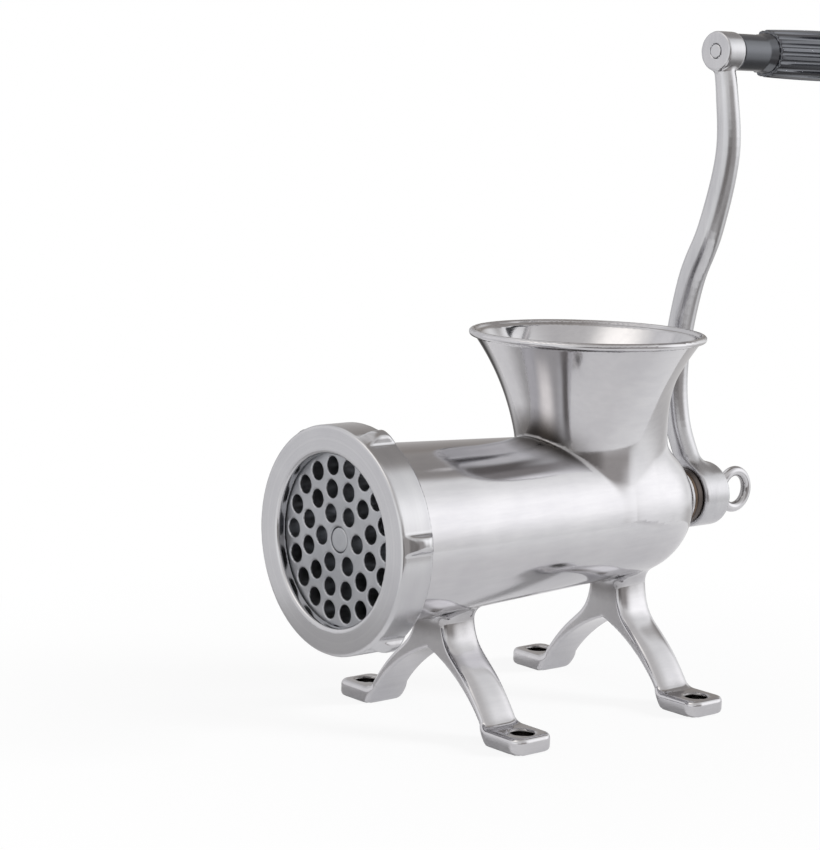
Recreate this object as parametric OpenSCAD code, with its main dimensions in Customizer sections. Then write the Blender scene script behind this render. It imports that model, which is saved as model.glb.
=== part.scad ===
// Hand cranked meat grinder on four bolt-down feet.
// X runs across the feet, Y along the barrel from the outlet (-Y) to the crank (+Y), Z is up.
// The origin is on the bench, midway between the four bolt holes.

/* [Feet] */
// Bolt hole spacing across the barrel
bolt_x = 109; // [96:1:130]
// Bolt hole spacing along the barrel
bolt_y = 110; // [96:1:124]
// Bolt hole diameter
bolt_hole_d = 10.5; // [8:0.5:12]
// Thickness of a foot pad
pad_t = 8; // [6:0.5:11]
// Width of a foot pad along the barrel
pad_w = 22.5; // [20:0.5:28]
// Pad length beyond the bolt hole centre
pad_toe = 9.5; // [8:0.5:14]
// Pad length from the bolt hole centre back to the heel of the arch
pad_heel = 12; // [9:0.5:15]
// Radius of the pad's outer corners
pad_corner_r = 6; // [3:0.5:9]
// Clear height for a bolt head above the bench
bolt_room = 28; // [18:1:40]

/* [Legs] */
// Height of the barrel axis above the bench
axis_h = 90.8; // [84:0.2:110]
// Width of a leg along the barrel
leg_w = 20; // [16:0.5:22]
// Width of the neck that carries a pair of legs
neck_w = 16.6; // [13:0.2:22]
// Height of the pointed arch between a pair of legs
arch_h = 36; // [30:0.5:40]
// Radius of each side of the arch
arch_r = 82; // [60:1:140]
// How far the outer face of a leg crowns out between its edges
leg_crown = 2.5; // [1:0.1:4]
// Distance from the arch's heel back to the root of the leg's outer face
leg_root = 2.3; // [1:0.1:6]
// Height above the pad that the leg's outer edge bends towards below the neck
knee_h = 19; // [14:0.5:24]
// Height above the pad that the leg's outer edge bends towards over the foot
haunch_h = 35; // [28:0.5:40]
// Distance of that second bend in from the root
haunch_in = 22.2; // [16:0.2:26]
// How far the neck runs up past the barrel's underside
neck_bed = 8; // [6:0.5:12]

/* [Barrel] */
// Outer radius of the barrel just behind the ring
barrel_front_r = 40.7; // [39.5:0.1:43]
// Outer radius of the barrel where the domed end starts
barrel_rear_r = 34.3; // [32:0.1:37]
// Distance from the origin to the start of the domed end
barrel_end = 55; // [48:0.5:62]
// Wall of the barrel
barrel_wall = 4; // [3:0.1:5]
// How far the bore runs on into the domed end
bore_overrun = 10; // [6:0.5:13]
// Radius of the rear bearing boss
boss_r = 15; // [14:0.5:18]
// How far the bearing boss stands out of the dome
boss_proud = 2.2; // [1.5:0.1:4]
// Radius of the threaded head inside the ring
head_r = 44.7; // [44.2:0.1:46]
// How far the plate stands out of the head
plate_proud = 1; // [0.5:0.1:2]

/* [Hopper] */
// Distance of the hopper axis behind the origin
hopper_y = 28; // [22:0.5:32]
// Height of the hopper rim above the bench
rim_h = 175.4; // [165:0.2:195]
// Outer radius of the rim
rim_r = 55.65; // [50:0.05:62]
// Radius of the flaring wall, seen in section
flare_r = 117.6; // [105:0.2:130]
// Height above the barrel axis where the flaring wall stands upright
flare_h = 12.2; // [10:0.2:14]
// Wall of the hopper
hopper_wall = 3.2; // [2.5:0.1:4]
// Radius of the rolled lip
lip_bead_r = 1.7; // [1.5:0.1:2.4]
// How far the wall's outer face lies outside the middle of the lip
lip_set = 0.25; // [0:0.05:1]
// Radius of the hopper's tapered skirt at the height of the barrel axis
skirt_r = 35.2; // [34:0.1:35.2]
// Height above the barrel axis of the skirt's top inside the flaring wall
skirt_h = 34; // [30:0.5:38]
// Radius of the upright shoulder that carries the hopper at the back
saddle_r = 30; // [28:0.1:32]
// Distance of that shoulder's middle behind the hopper axis
saddle_back = 14.5; // [10:0.5:16]
// Depth of the shoulder's top below the rim
saddle_drop = 13.4; // [11:0.2:16]

/* [Outlet ring] */
// Distance from the origin to the ring's front face
front_reach = 122.5; // [116:0.5:130]
// Outer radius of the ring
ring_r = 50.5; // [49:0.1:54]
// Radius of the ring's opening
ring_open_r = 38; // [35:0.1:39.5]
// Length of the ring along the barrel
ring_len = 16.8; // [15.6:0.1:22]
// Thickness of the lip that holds the plate
ring_lip = 5; // [4:0.1:6]
// Rounding of the ring's front edge
ring_edge_r = 2; // [1:0.1:3]
// Number of grip lugs
lug_count = 6; // [4:1:8]
// Width of a lug
lug_w = 7.5; // [6:0.1:10]
// How far a lug stands out of the ring
lug_h = 4.2; // [3:0.1:6]
// Length of the slope at the front end of a lug
lug_nose = 8; // [4:0.1:9]
// Length of the slope at the rear end of a lug
lug_tail = 4; // [2:0.1:6]
// Angle of the first lug up from the level
lug_start = 7; // [0:1:30]

/* [Cutting set] */
// Diameter of the hole plate
plate_d = 82; // [80:0.1:82.6]
// Thickness of the hole plate
plate_t = 8; // [7:0.1:9]
// Diameter of the holes in the plate
plate_hole_d = 8; // [5:0.1:8.4]
// Radius of the first circle of holes
hole_circle_r = 12.4; // [12:0.1:13.5]
// Distance from one circle of holes to the next
hole_circle_step = 10; // [9.6:0.1:10.4]
// Number of circles of holes
hole_circles = 3; // [1:1:3]
// Holes in the first circle, and added in each circle after it
hole_count = 6; // [5:1:6]
// Diameter of the key pin that stops the plate turning
key_d = 5; // [4:0.1:5.4]
// Thickness of the cutter knife
knife_t = 10; // [8:0.1:12]
// Radius of the cutter knife
knife_r = 35.5; // [32:0.1:36]
// Number of knife blades
blade_count = 4; // [3:1:5]
// Width of a knife blade
blade_w = 13; // [10:0.1:15]
// How much narrower a blade is at its tip, on each side
blade_taper = 2; // [1:0.1:3]
// Height of the upright edge behind the cutting face
blade_land = 2.5; // [1.5:0.1:4]
// Radius of the knife's hub
knife_hub_r = 13; // [11:0.1:15]
// Slope of the back of a knife blade
blade_slope = 38; // [30:1:50]
// Room around the cutter knife
knife_room = 1; // [0.5:0.1:1.5]
// Width of the knife stud's square
stud_square = 11; // [11:0.1:12]
// Diameter of the knife stud's round ends
stud_d = 11; // [10:0.1:11.2]
// Length of the knife stud inside the feed screw
stud_root = 20; // [14:0.5:26]

/* [Feed screw] */
// Pitch of the flight
flight_pitch = 40; // [34:0.5:52]
// Thickness of the flight at its tip
flight_tip = 3.4; // [2.5:0.1:4.5]
// Thickness of the flight at its root
flight_root = 8; // [6:0.1:10]
// Radius of the screw's core at the outlet end
core_front_r = 17; // [14:0.1:20]
// Radius of the screw's core at the crank end
core_rear_r = 14; // [12.5:0.1:16]
// Clearance between the flight and the bore
flight_gap = 1; // [0.6:0.1:2]
// Diameter of the journal in the rear bush
journal_d = 20; // [19:0.1:21]
// Width of the square drive for the crank
drive_w = 13.6; // [12:0.1:14]

/* [Bearing] */
// Wall of the rear bush
bush_wall = 2.5; // [1.5:0.1:3]
// Thickness of the bush flange
bush_flange_t = 2.5; // [1.5:0.1:4]
// Radius of the bush flange and of the washer behind it
flange_r = 14; // [13.6:0.1:16]
// Thickness of the thrust washer inside the barrel
thrust_t = 2; // [1:0.1:3]
// How far the thrust washer stands out beyond the screw's core
thrust_rim = 2; // [1:0.1:4]
// Thickness of the washer between the bush and the crank
shaft_washer_t = 3.6; // [2:0.1:5]

/* [Crank] */
// Distance from the barrel axis to the grip axis
crank_len = 216.6; // [190:0.2:250]
// Angle of the crank from upright as it rests
crank_rest = 1.9; // [-6:0.1:6]
// Diameter of the crank hub
hub_d = 31.6; // [29:0.1:36]
// Length of the crank hub
hub_len = 17.5; // [14:0.1:24]
// Distance from the hub's front face back to the middle of the arm
arm_set = 6.1; // [6:0.1:9]
// How far the arm sweeps to one side near the hub
sweep_low = 16.9; // [10:0.1:24]
// How far the arm sweeps to the other side near the grip
sweep_high = 7.4; // [3:0.1:12]
// Diameter of the arm at the hub
arm_low_d = 12; // [10:0.1:12]
// Diameter of the arm at mid length
arm_mid_d = 13.2; // [10:0.1:14]
// Diameter of the arm at the grip end
arm_high_d = 9.6; // [8:0.1:11]
// Depth that each end of the arm runs into the hub and the boss
arm_bed = 6; // [4:0.1:7]
// Diameter of the boss that carries the grip
grip_boss_d = 19; // [17:0.1:24]
// Length of the boss that carries the grip
grip_boss_len = 12; // [11:0.1:20]

/* [Eye screw] */
// Diameter of the screw that holds the crank
screw_d = 10; // [8:0.1:11]
// Length of the screw inside the feed screw's end
screw_len = 12.3; // [10:0.1:20]
// Diameter of the bar that forms the eye
eye_bar_d = 5; // [4:0.1:6]
// Radius of the eye to the middle of its bar
eye_r = 9.15; // [8:0.05:12]
// Length of the neck between the washer and the eye
eye_neck = 5; // [3:0.1:8]
// Diameter of the eye's neck
eye_neck_d = 9; // [7:0.1:11]
// Diameter of the collar that bears on the washer
eye_collar_d = 15; // [12:0.1:18]
// Thickness of that collar
eye_collar_t = 2.2; // [1.5:0.1:4]
// Thickness of the crank washer
crank_washer_t = 2; // [1:0.1:3]
// Diameter of the crank washer
crank_washer_d = 23; // [19:0.1:28]

/* [Grip] */
// Diameter of the spindle
spindle_d = 6.6; // [6:0.1:9]
// Diameter of the smooth collar next to the crank
collar_d = 17.6; // [15:0.1:19]
// Diameter of the collar where it flares to meet the sleeve
collar_flare_d = 20; // [18.5:0.1:22]
// Length of the collar
collar_len = 23; // [16:0.1:30]
// Length of the collar's flare
collar_flare_len = 5; // [3:0.1:8]
// Length of the fluted sleeve
sleeve_len = 95; // [80:0.5:115]
// Diameter of the fluted sleeve at its ends
sleeve_d = 22.8; // [22.4:0.1:26]
// How far the fluted sleeve swells at its middle, on the radius
sleeve_swell = 1; // [0.4:0.1:2]
// Number of flutes
flute_count = 18; // [12:1:22]
// Diameter of the cutter that makes a flute
flute_d = 2.4; // [1.6:0.1:2.8]
// Depth of a flute at the ends of the sleeve
flute_depth = 0.7; // [0.4:0.1:1]
// Diameter of the core inside the sleeve
core_d = 16; // [13:0.1:17]
// Thickness of the end washer
end_washer_t = 1.6; // [1:0.1:3]
// Diameter of the end washer
end_washer_d = 15; // [13:0.1:18]
// Thickness of the spindle's riveted head
rivet_t = 2.6; // [1.5:0.1:4]
// Diameter of the spindle's riveted head
rivet_d = 11; // [9.6:0.1:13]

/* [Fits] */
// Gap between faces that turn or slide against each other
face_gap = 0.3; // [0.2:0.05:0.5]
// Radial clearance of a shaft in its bearing
run_fit = 0.06; // [0.03:0.01:0.1]
// Clearance of a piece that drops into place, on each side
drop_fit = 0.2; // [0.1:0.05:0.4]

/* [Hidden] */

// Facets of the true circles, and of the lofted forms
$fn = 96;
loft_sides = 16;
// Overlap that makes cuts clean and joined forms one solid
bite = 1;

// Stations along the barrel, from the outlet back to the crank
ring_face_y = -front_reach;
ring_rear_y = ring_face_y + ring_len;
plate_front_y = ring_face_y + ring_lip + face_gap;
plate_back_y = plate_front_y + plate_t;
knife_front_y = plate_back_y + face_gap;
knife_back_y = knife_front_y + knife_t;
head_front_y = plate_front_y + plate_proud;
head_rear_y = ring_rear_y - face_gap;
seat_y = plate_back_y + face_gap;
chamber_end_y = knife_back_y + face_gap;
bore_end_y = barrel_end + bore_overrun;
screw_back_y = bore_end_y - thrust_t - face_gap;
boss_end_y = barrel_end + barrel_rear_r + boss_proud;
flange_end_y = boss_end_y + bush_flange_t;
hub_front_y = flange_end_y + shaft_washer_t + face_gap;
hub_rear_y = hub_front_y + hub_len;
shaft_end_y = hub_rear_y - face_gap;
washer_y = hub_rear_y + face_gap;
eye_collar_y = washer_y + crank_washer_t + face_gap;
eye_neck_y = eye_collar_y + eye_collar_t;
eye_y = eye_neck_y + eye_neck + eye_r;

// Radii that follow from the driving sizes
plate_r = plate_d / 2;
seat_r = plate_r + drop_fit;
ring_bore_r = head_r + face_gap;
chamber_r = knife_r + knife_room;
journal_r = journal_d / 2;
bush_bore_r = journal_r + run_fit;
bush_r = bush_bore_r + bush_wall;
washer_bore_r = journal_r + drop_fit;
thrust_r = core_rear_r + thrust_rim;
stud_r = stud_d / 2;
screw_r = screw_d / 2;

// Grip stations, from the crank boss outwards
arm_y = hub_front_y + arm_set;
boss_front_y = arm_y - grip_boss_len / 2;
boss_back_y = arm_y + grip_boss_len / 2;
collar_y = boss_back_y + face_gap;
sleeve_y = collar_y + collar_len;
grip_end_y = sleeve_y + sleeve_len;
end_washer_y = grip_end_y + face_gap;
rivet_y = end_washer_y + end_washer_t;
grip_bore_r = spindle_d / 2 + run_fit;

// Outer radius of the tapered barrel at a station, and of its bore
function barrel_r(y) =
    barrel_front_r + (barrel_rear_r - barrel_front_r) * (y - ring_rear_y) / (barrel_end - ring_rear_y);
function bore_r(y) = barrel_r(y) - barrel_wall;

// Section of the hopper: the flaring wall is an arc about this centre
flare_z = axis_h + flare_h;
flare_rise = rim_h - lip_bead_r - flare_z;
flare_cx = rim_r - lip_bead_r + lip_set + sqrt(pow(flare_r, 2) - pow(flare_rise, 2));
throat_r = flare_cx - flare_r - hopper_wall;

// A point on a straight line, on a cubic curve and on a spline through hand-set points
function mix(a, b, t) = a + (b - a) * t;
function cubic(p, t) =
    pow(1 - t, 3) * p[0] + 3 * t * pow(1 - t, 2) * p[1] + 3 * t * t * (1 - t) * p[2] + pow(t, 3) * p[3];
function spline_piece(a, b, c, d, t) =
    b + t / 2 * (c - a) + t * t / 2 * (2 * a - 5 * b + 4 * c - d) + pow(t, 3) / 2 * (3 * b - a - 3 * c + d);
function spline(p, t) =
    let (last = len(p) - 1, i = min(floor(t * last), last - 1))
    spline_piece(p[max(i - 1, 0)], p[i], p[i + 1], p[min(i + 2, last)], t * last - i);

// Puts a form that is drawn along +Z onto the barrel axis, or onto the grip axis
module on_axis(y) {
    translate([0, y, axis_h])
        rotate([-90, 0, 0])
            children();
}

module at_crank() {
    translate([0, 0, axis_h])
        rotate([0, crank_rest, 0])
            children();
}

module on_grip(y) {
    at_crank()
        translate([0, y, crank_len])
            rotate([-90, 0, 0])
                children();
}

// A tube or disc with a hole, drawn along +Z
module collar(r, hole_r, h) {
    difference() {
        cylinder(r = r, h = h);
        translate([0, 0, -bite])
            cylinder(r = hole_r, h = h + 2 * bite);
    }
}

// A square bar along +Z
module square_bar(w, h) {
    translate([-w / 2, -w / 2, 0])
        cube([w, w, h]);
}

// A closed solid through a list of rings that all have the same number of points
module skin(rings) {
    sides = len(rings[0]);
    last = len(rings) - 1;
    points = [for (ring = rings) each ring];
    walls = [for (i = [0:last - 1], k = [0:sides - 1])
        let (a = i * sides + k, b = i * sides + (k + 1) % sides)
        each [[a, b, a + sides], [b, b + sides, a + sides]]];
    front = [for (k = [1:sides - 2]) [0, k + 1, k]];
    back = [for (k = [1:sides - 2]) [last * sides, last * sides + k, last * sides + k + 1]];
    polyhedron(points, concat(walls, front, back));
}

// The solid that the barrel's outside bounds, which the hopper and legs are cut to fit
module barrel_solid() {
    on_axis(0)
        rotate_extrude() {
            polygon([[0, ring_rear_y - bite], [barrel_r(ring_rear_y - bite), ring_rear_y - bite],
                [barrel_rear_r, barrel_end], [0, barrel_end]]);
            intersection() {
                translate([0, barrel_end])
                    circle(r = barrel_rear_r);
                translate([0, barrel_end - bite])
                    square([2 * barrel_rear_r, 2 * barrel_rear_r]);
            }
        }
}

module barrel_bore() {
    on_axis(0)
        rotate_extrude() {
            translate([0, head_front_y - bite])
                square([seat_r, seat_y - head_front_y + bite]);
            translate([0, seat_y - bite])
                square([chamber_r, chamber_end_y - seat_y + bite]);
            polygon([[0, chamber_end_y - bite], [bore_r(chamber_end_y), chamber_end_y - bite],
                [bore_r(chamber_end_y), chamber_end_y], [bore_r(bore_end_y), bore_end_y], [0, bore_end_y]]);
            translate([0, bore_end_y - bite])
                square([bush_r, boss_end_y - bore_end_y + 2 * bite]);
        }
}

module barrel() {
    color("gainsboro")
        difference() {
            union() {
                barrel_solid();
                on_axis(head_front_y)
                    cylinder(r = head_r, h = head_rear_y - head_front_y);
                on_axis(barrel_end)
                    cylinder(r = boss_r, h = boss_end_y - barrel_end);
            }
            barrel_bore();
            translate([0, hopper_y, axis_h])
                cylinder(r = throat_r, h = 2 * barrel_front_r);
            key_place(bite)
                cylinder(d = key_d, h = plate_back_y - head_front_y + bite);
        }
}

// Section of the space inside a flaring wall, up to a height above the wall's upright part
module flare_section(wall_r, h) {
    translate([0, flare_z])
        difference() {
            square([rim_r, h]);
            translate([flare_cx, 0])
                circle(r = wall_r);
        }
}

module hopper() {
    color("gainsboro")
        difference() {
            translate([0, hopper_y, 0])
                difference() {
                    union() {
                        rotate_extrude() {
                            flare_section(flare_r, flare_rise);
                            translate([rim_r - lip_bead_r, rim_h - lip_bead_r])
                                circle(r = lip_bead_r);
                        }
                        translate([0, 0, axis_h])
                            cylinder(r1 = skirt_r, r2 = flare_cx - flare_r, h = skirt_h);
                        translate([0, saddle_back, axis_h])
                            cylinder(r = saddle_r, h = rim_h - saddle_drop - axis_h);
                    }
                    rotate_extrude()
                        flare_section(flare_r + hopper_wall, flare_rise + lip_bead_r + bite);
                    translate([0, 0, axis_h - bite])
                        cylinder(r = throat_r, h = flare_h + 2 * bite);
                }
            barrel_solid();
        }
}

// Section line of one leg: its outer edge runs as a cubic from the neck to the root above the pad
neck_top = axis_h - barrel_rear_r + neck_bed;
heel_x = bolt_x / 2 - pad_heel;
toe_x = bolt_x / 2 + pad_toe;
root_x = heel_x - leg_root;
leg_edge = [[neck_w / 2, neck_top], [neck_w / 2, pad_t + knee_h],
    [root_x - haunch_in, pad_t + haunch_h], [root_x, pad_t]];

// Each side of the arch is an arc from just past the middle down to the heel
arch_chord = sqrt(pow(heel_x, 2) + pow(arch_h, 2));
arch_depth = sqrt(pow(arch_r, 2) - pow(arch_chord / 2, 2));
arch_cx = heel_x / 2 - arch_depth * arch_h / arch_chord;
arch_cz = arch_h / 2 - arch_depth * heel_x / arch_chord;
arch_top_a = acos((-bite - arch_cx) / arch_r);
arch_heel_a = acos((heel_x - arch_cx) / arch_r);
function arch_point(t) =
    let (a = mix(arch_top_a, arch_heel_a, t))
    [arch_cx + arch_r * cos(a), arch_cz + arch_r * sin(a)];

// The neck takes the first part of a leg's length, and the arch starts where it ends
neck_share = 0.24;
leg_steps = 20;
function leg_inner(t) =
    t < neck_share ? [-bite, mix(neck_top, arch_point(0)[1], t / neck_share)]
    : arch_point((t - neck_share) / (1 - neck_share));

// One ring of a leg: a flat inner edge and a crowned outer edge, across the leg's width
crown_steps = 8;
function leg_ring(inner, outer) =
    let (out = (outer - inner) / norm(outer - inner))
    concat([[inner[0], leg_w / 2, inner[1]], [inner[0], -leg_w / 2, inner[1]]],
        [for (k = [0:crown_steps])
            let (a = 180 * k / crown_steps, p = outer + out * leg_crown * sin(a))
            [p[0], -leg_w / 2 * cos(a), p[1]]]);

module leg() {
    rings = [for (i = [0:leg_steps]) leg_ring(leg_inner(i / leg_steps), cubic(leg_edge, i / leg_steps))];
    foot_ring = [for (p = leg_ring([heel_x + bite, 0], [heel_x + bite, pad_t])) p];
    flat_ring = [for (p = foot_ring) [heel_x + bite, p[1], min(p[2], pad_t)]];
    skin(concat(rings, [flat_ring]));
    linear_extrude(pad_t)
        pad_plan();
}

// Plan of a foot pad, straight at the heel and rounded at the toe
module pad_plan() {
    translate([heel_x, -pad_w / 2])
        square([toe_x - pad_corner_r - heel_x, pad_w]);
    translate([heel_x, -pad_w / 2 + pad_corner_r])
        square([toe_x - heel_x, pad_w - 2 * pad_corner_r]);
    for (side = [-1, 1])
        translate([toe_x - pad_corner_r, side * (pad_w / 2 - pad_corner_r)])
            circle(r = pad_corner_r);
}

module leg_pair(y) {
    color("gainsboro")
        difference() {
            translate([0, y, 0]) {
                leg();
                mirror([1, 0, 0])
                    leg();
            }
            barrel_solid();
            for (side = [-1, 1])
                translate([side * bolt_x / 2, y, -bite])
                    cylinder(d = bolt_hole_d, h = bolt_room + bite);
        }
}

module front_legs() {
    leg_pair(-bolt_y / 2);
}

module rear_legs() {
    leg_pair(bolt_y / 2);
}

// Place of the key pin, half in the head and half in the plate's notch, at the bottom of the seat
module key_place(lead) {
    on_axis(head_front_y - lead)
        translate([0, seat_r, 0])
            children();
}

module plate_key() {
    color("darkgray")
        key_place(0)
            cylinder(d = key_d - 2 * run_fit, h = plate_back_y - head_front_y);
}

module rear_bush() {
    color("peru")
        on_axis(bore_end_y)
            difference() {
                union() {
                    cylinder(r = bush_r, h = boss_end_y - bore_end_y);
                    translate([0, 0, boss_end_y - bore_end_y])
                        cylinder(r = flange_r, h = bush_flange_t);
                }
                translate([0, 0, -bite])
                    cylinder(r = bush_bore_r, h = flange_end_y - bore_end_y + 2 * bite);
            }
}

module thrust_washer() {
    color("saddlebrown")
        on_axis(bore_end_y - thrust_t)
            collar(thrust_r, washer_bore_r, thrust_t);
}

module shaft_washer() {
    color("silver")
        on_axis(flange_end_y)
            collar(flange_r, washer_bore_r, shaft_washer_t);
}

// Section of the ring: a tube with a lip at the front and a rounded front edge
module ring_section() {
    difference() {
        union() {
            translate([0, ring_edge_r])
                square([ring_r, ring_len - ring_edge_r]);
            square([ring_r - ring_edge_r, ring_len]);
            translate([ring_r - ring_edge_r, ring_edge_r])
                circle(r = ring_edge_r);
        }
        translate([-bite, -bite])
            square([ring_open_r + bite, ring_len + 2 * bite]);
        translate([-bite, ring_lip])
            square([ring_bore_r + bite, ring_len]);
    }
}

// Plan of the lugs, each a rounded bar that starts inside the ring
module lug_plan() {
    lug_r = lug_w / 2;
    for (k = [0:lug_count - 1])
        rotate(-lug_start - k * 360 / lug_count) {
            translate([ring_bore_r + bite, -lug_r])
                square([ring_r + lug_h - lug_r - ring_bore_r - bite, lug_w]);
            translate([ring_r + lug_h - lug_r, 0])
                circle(r = lug_r);
        }
}

module ring_nut() {
    color("whitesmoke")
        on_axis(ring_face_y) {
            rotate_extrude()
                ring_section();
            intersection() {
                translate([0, 0, ring_edge_r])
                    linear_extrude(ring_len - ring_edge_r)
                        lug_plan();
                rotate_extrude()
                    polygon([[0, 0], [ring_r - ring_edge_r, 0], [ring_r + lug_h, lug_nose],
                        [ring_r + lug_h, ring_len - lug_tail], [ring_r, ring_len], [0, ring_len]]);
            }
        }
}

module hole_plate() {
    color("silver")
        difference() {
            on_axis(plate_front_y)
                difference() {
                    cylinder(r = plate_r, h = plate_t);
                    translate([0, 0, -bite])
                        cylinder(r = stud_r + drop_fit, h = plate_t + 2 * bite);
                    for (c = [0:hole_circles - 1])
                        let (count = hole_count * (c + 1))
                            for (k = [0:count - 1])
                                rotate([0, 0, (k + c / 2) * 360 / count])
                                    translate([hole_circle_r + c * hole_circle_step, 0, -bite])
                                        cylinder(d = plate_hole_d, h = plate_t + 2 * bite, $fn = 24);
                }
            key_place(plate_proud + bite)
                cylinder(d = key_d + 2 * face_gap, h = plate_t + 3 * bite);
        }
}

// Plan of one blade: a straight cutting edge ahead and a wider root behind it
module blade_plan() {
    intersection() {
        polygon([[0, -blade_w / 2], [knife_r + bite, blade_taper - blade_w / 2],
            [knife_r + bite, blade_w / 2 - blade_taper], [0, blade_w / 2]]);
        circle(r = knife_r);
    }
}

module cutter_knife() {
    color("lightsteelblue")
        on_axis(knife_front_y)
            difference() {
                union() {
                    cylinder(r = knife_hub_r, h = knife_t);
                    for (k = [0:blade_count - 1])
                        rotate([0, 0, k * 360 / blade_count])
                            difference() {
                                linear_extrude(knife_t)
                                    blade_plan();
                                translate([knife_hub_r - bite, blade_w / 2, blade_land])
                                    rotate([-blade_slope, 0, 0])
                                        translate([0, -2 * blade_w, 0])
                                            cube([2 * knife_r, 3 * blade_w, 2 * knife_t]);
                            }
                }
                translate([0, 0, -bite])
                    square_bar(stud_square + 2 * drop_fit, knife_t + 2 * bite);
            }
}

module knife_stud() {
    tip_y = plate_front_y + face_gap;
    color("lightsteelblue") {
        on_axis(knife_front_y)
            square_bar(stud_square, knife_t);
        on_axis(tip_y)
            cylinder(r = stud_r, h = knife_front_y - tip_y + bite);
        on_axis(knife_back_y - bite)
            cylinder(r = stud_r, h = stud_root + bite);
    }
}

// The flight and core of the screw in one form: each ring is turned on from the one before
flight_len = screw_back_y - knife_back_y;
turn_steps = 28;
flight_steps = ceil(flight_len / flight_pitch * turn_steps);
function flight_ring(y) =
    let (turn = 360 * (y - knife_back_y) / flight_pitch,
        core = mix(core_front_r, core_rear_r, (y - knife_back_y) / flight_len),
        tip = bore_r(y) - flight_gap,
        tip_a = 180 * flight_tip / flight_pitch,
        root_a = 180 * flight_root / flight_pitch)
    concat([for (a = [-tip_a, tip_a]) [tip, a + turn]],
        [for (k = [0:loft_sides]) [core, mix(root_a, 360 - root_a, k / loft_sides) + turn]]);

module flight() {
    skin([for (i = [0:flight_steps])
        let (y = mix(knife_back_y, screw_back_y, i / flight_steps))
        [for (p = flight_ring(y)) [p[0] * cos(p[1]), y, axis_h + p[0] * sin(p[1])]]]);
}

module feed_screw() {
    color("silver")
        difference() {
            union() {
                flight();
                on_axis(screw_back_y - bite)
                    cylinder(r = journal_r, h = hub_front_y - screw_back_y + bite);
                on_axis(hub_front_y - bite)
                    rotate([0, 0, crank_rest])
                        square_bar(drive_w, shaft_end_y - hub_front_y + bite);
            }
            on_axis(knife_back_y - bite)
                cylinder(r = stud_r + run_fit, h = stud_root + bite + face_gap);
            on_axis(shaft_end_y - screw_len)
                cylinder(r = screw_r + run_fit, h = screw_len + bite);
        }
}

// Hand-set points of the crank arm's line between its ends: the share of a sweep, then of the crank's length
low_points = [[-0.76, 0.158], [-1, 0.3], [-0.64, 0.48], [0, 0.61]];
high_points = [[1, 0.775], [0.55, 0.91]];
arm_line = concat([[0, hub_d / 2 - arm_bed]],
    [for (p = low_points) [p[0] * sweep_low, p[1] * crank_len]],
    [for (p = high_points) [p[0] * sweep_high, p[1] * crank_len]],
    [[0, crank_len - grip_boss_d / 2 + arm_bed]]);
arm_sizes = [arm_low_d, arm_mid_d, arm_high_d];
arm_steps = 30;
arm_look = 0.01;
function arm_ring(t) =
    let (p = spline(arm_line, t),
        d = spline(arm_line, min(t + arm_look, 1)) - spline(arm_line, max(t - arm_look, 0)),
        side = [d[1], -d[0]] / norm(d),
        r = spline(arm_sizes, t) / 2)
    [for (k = [0:loft_sides - 1])
        let (a = -360 * k / loft_sides)
        [p[0] + side[0] * r * cos(a), arm_y + r * sin(a), p[1] + side[1] * r * cos(a)]];

module crank_arm() {
    color("gainsboro")
        at_crank()
            difference() {
                union() {
                    translate([0, hub_front_y, 0])
                        rotate([-90, 0, 0])
                            cylinder(d = hub_d, h = hub_len);
                    skin([for (i = [0:arm_steps]) arm_ring(i / arm_steps)]);
                    translate([0, boss_front_y, crank_len])
                        rotate([-90, 0, 0])
                            cylinder(d = grip_boss_d, h = grip_boss_len);
                }
                translate([0, hub_front_y - bite, 0])
                    rotate([-90, 0, 0])
                        square_bar(drive_w + 2 * drop_fit, hub_len + 2 * bite);
                translate([0, boss_front_y - bite, crank_len])
                    rotate([-90, 0, 0])
                        cylinder(d = spindle_d, h = grip_boss_len + 2 * bite);
            }
}

module crank_washer() {
    color("silver")
        on_axis(washer_y)
            collar(crank_washer_d / 2, screw_r + drop_fit, crank_washer_t);
}

module eye_screw() {
    thread_y = shaft_end_y - screw_len + face_gap;
    color("whitesmoke") {
        on_axis(thread_y)
            cylinder(r = screw_r, h = eye_collar_y - thread_y + bite);
        on_axis(eye_collar_y)
            cylinder(d = eye_collar_d, h = eye_collar_t);
        on_axis(eye_neck_y - bite)
            cylinder(d = eye_neck_d, h = eye_neck + bite);
        translate([0, eye_y, axis_h])
            rotate([0, 90, 0])
                rotate_extrude()
                    translate([eye_r, 0])
                        circle(d = eye_bar_d);
    }
}

module grip_spindle() {
    color("silver") {
        on_grip(boss_front_y)
            cylinder(d = spindle_d, h = rivet_y - boss_front_y + bite);
        on_grip(rivet_y)
            cylinder(d = rivet_d, h = rivet_t);
    }
}

module grip_core() {
    color("#26282b")
        on_grip(collar_y)
            difference() {
                union() {
                    cylinder(d = collar_d, h = collar_len - collar_flare_len);
                    translate([0, 0, collar_len - collar_flare_len])
                        cylinder(d1 = collar_d, d2 = collar_flare_d, h = collar_flare_len);
                    cylinder(d = core_d, h = grip_end_y - collar_y);
                }
                translate([0, 0, -bite])
                    cylinder(r = grip_bore_r, h = grip_end_y - collar_y + 2 * bite);
            }
}

// The sleeve's side is an arc that passes through both ends and swells at the middle
swell_r = (pow(sleeve_len / 2, 2) + pow(sleeve_swell, 2)) / (2 * sleeve_swell);
swell_sides = 1440;

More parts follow.
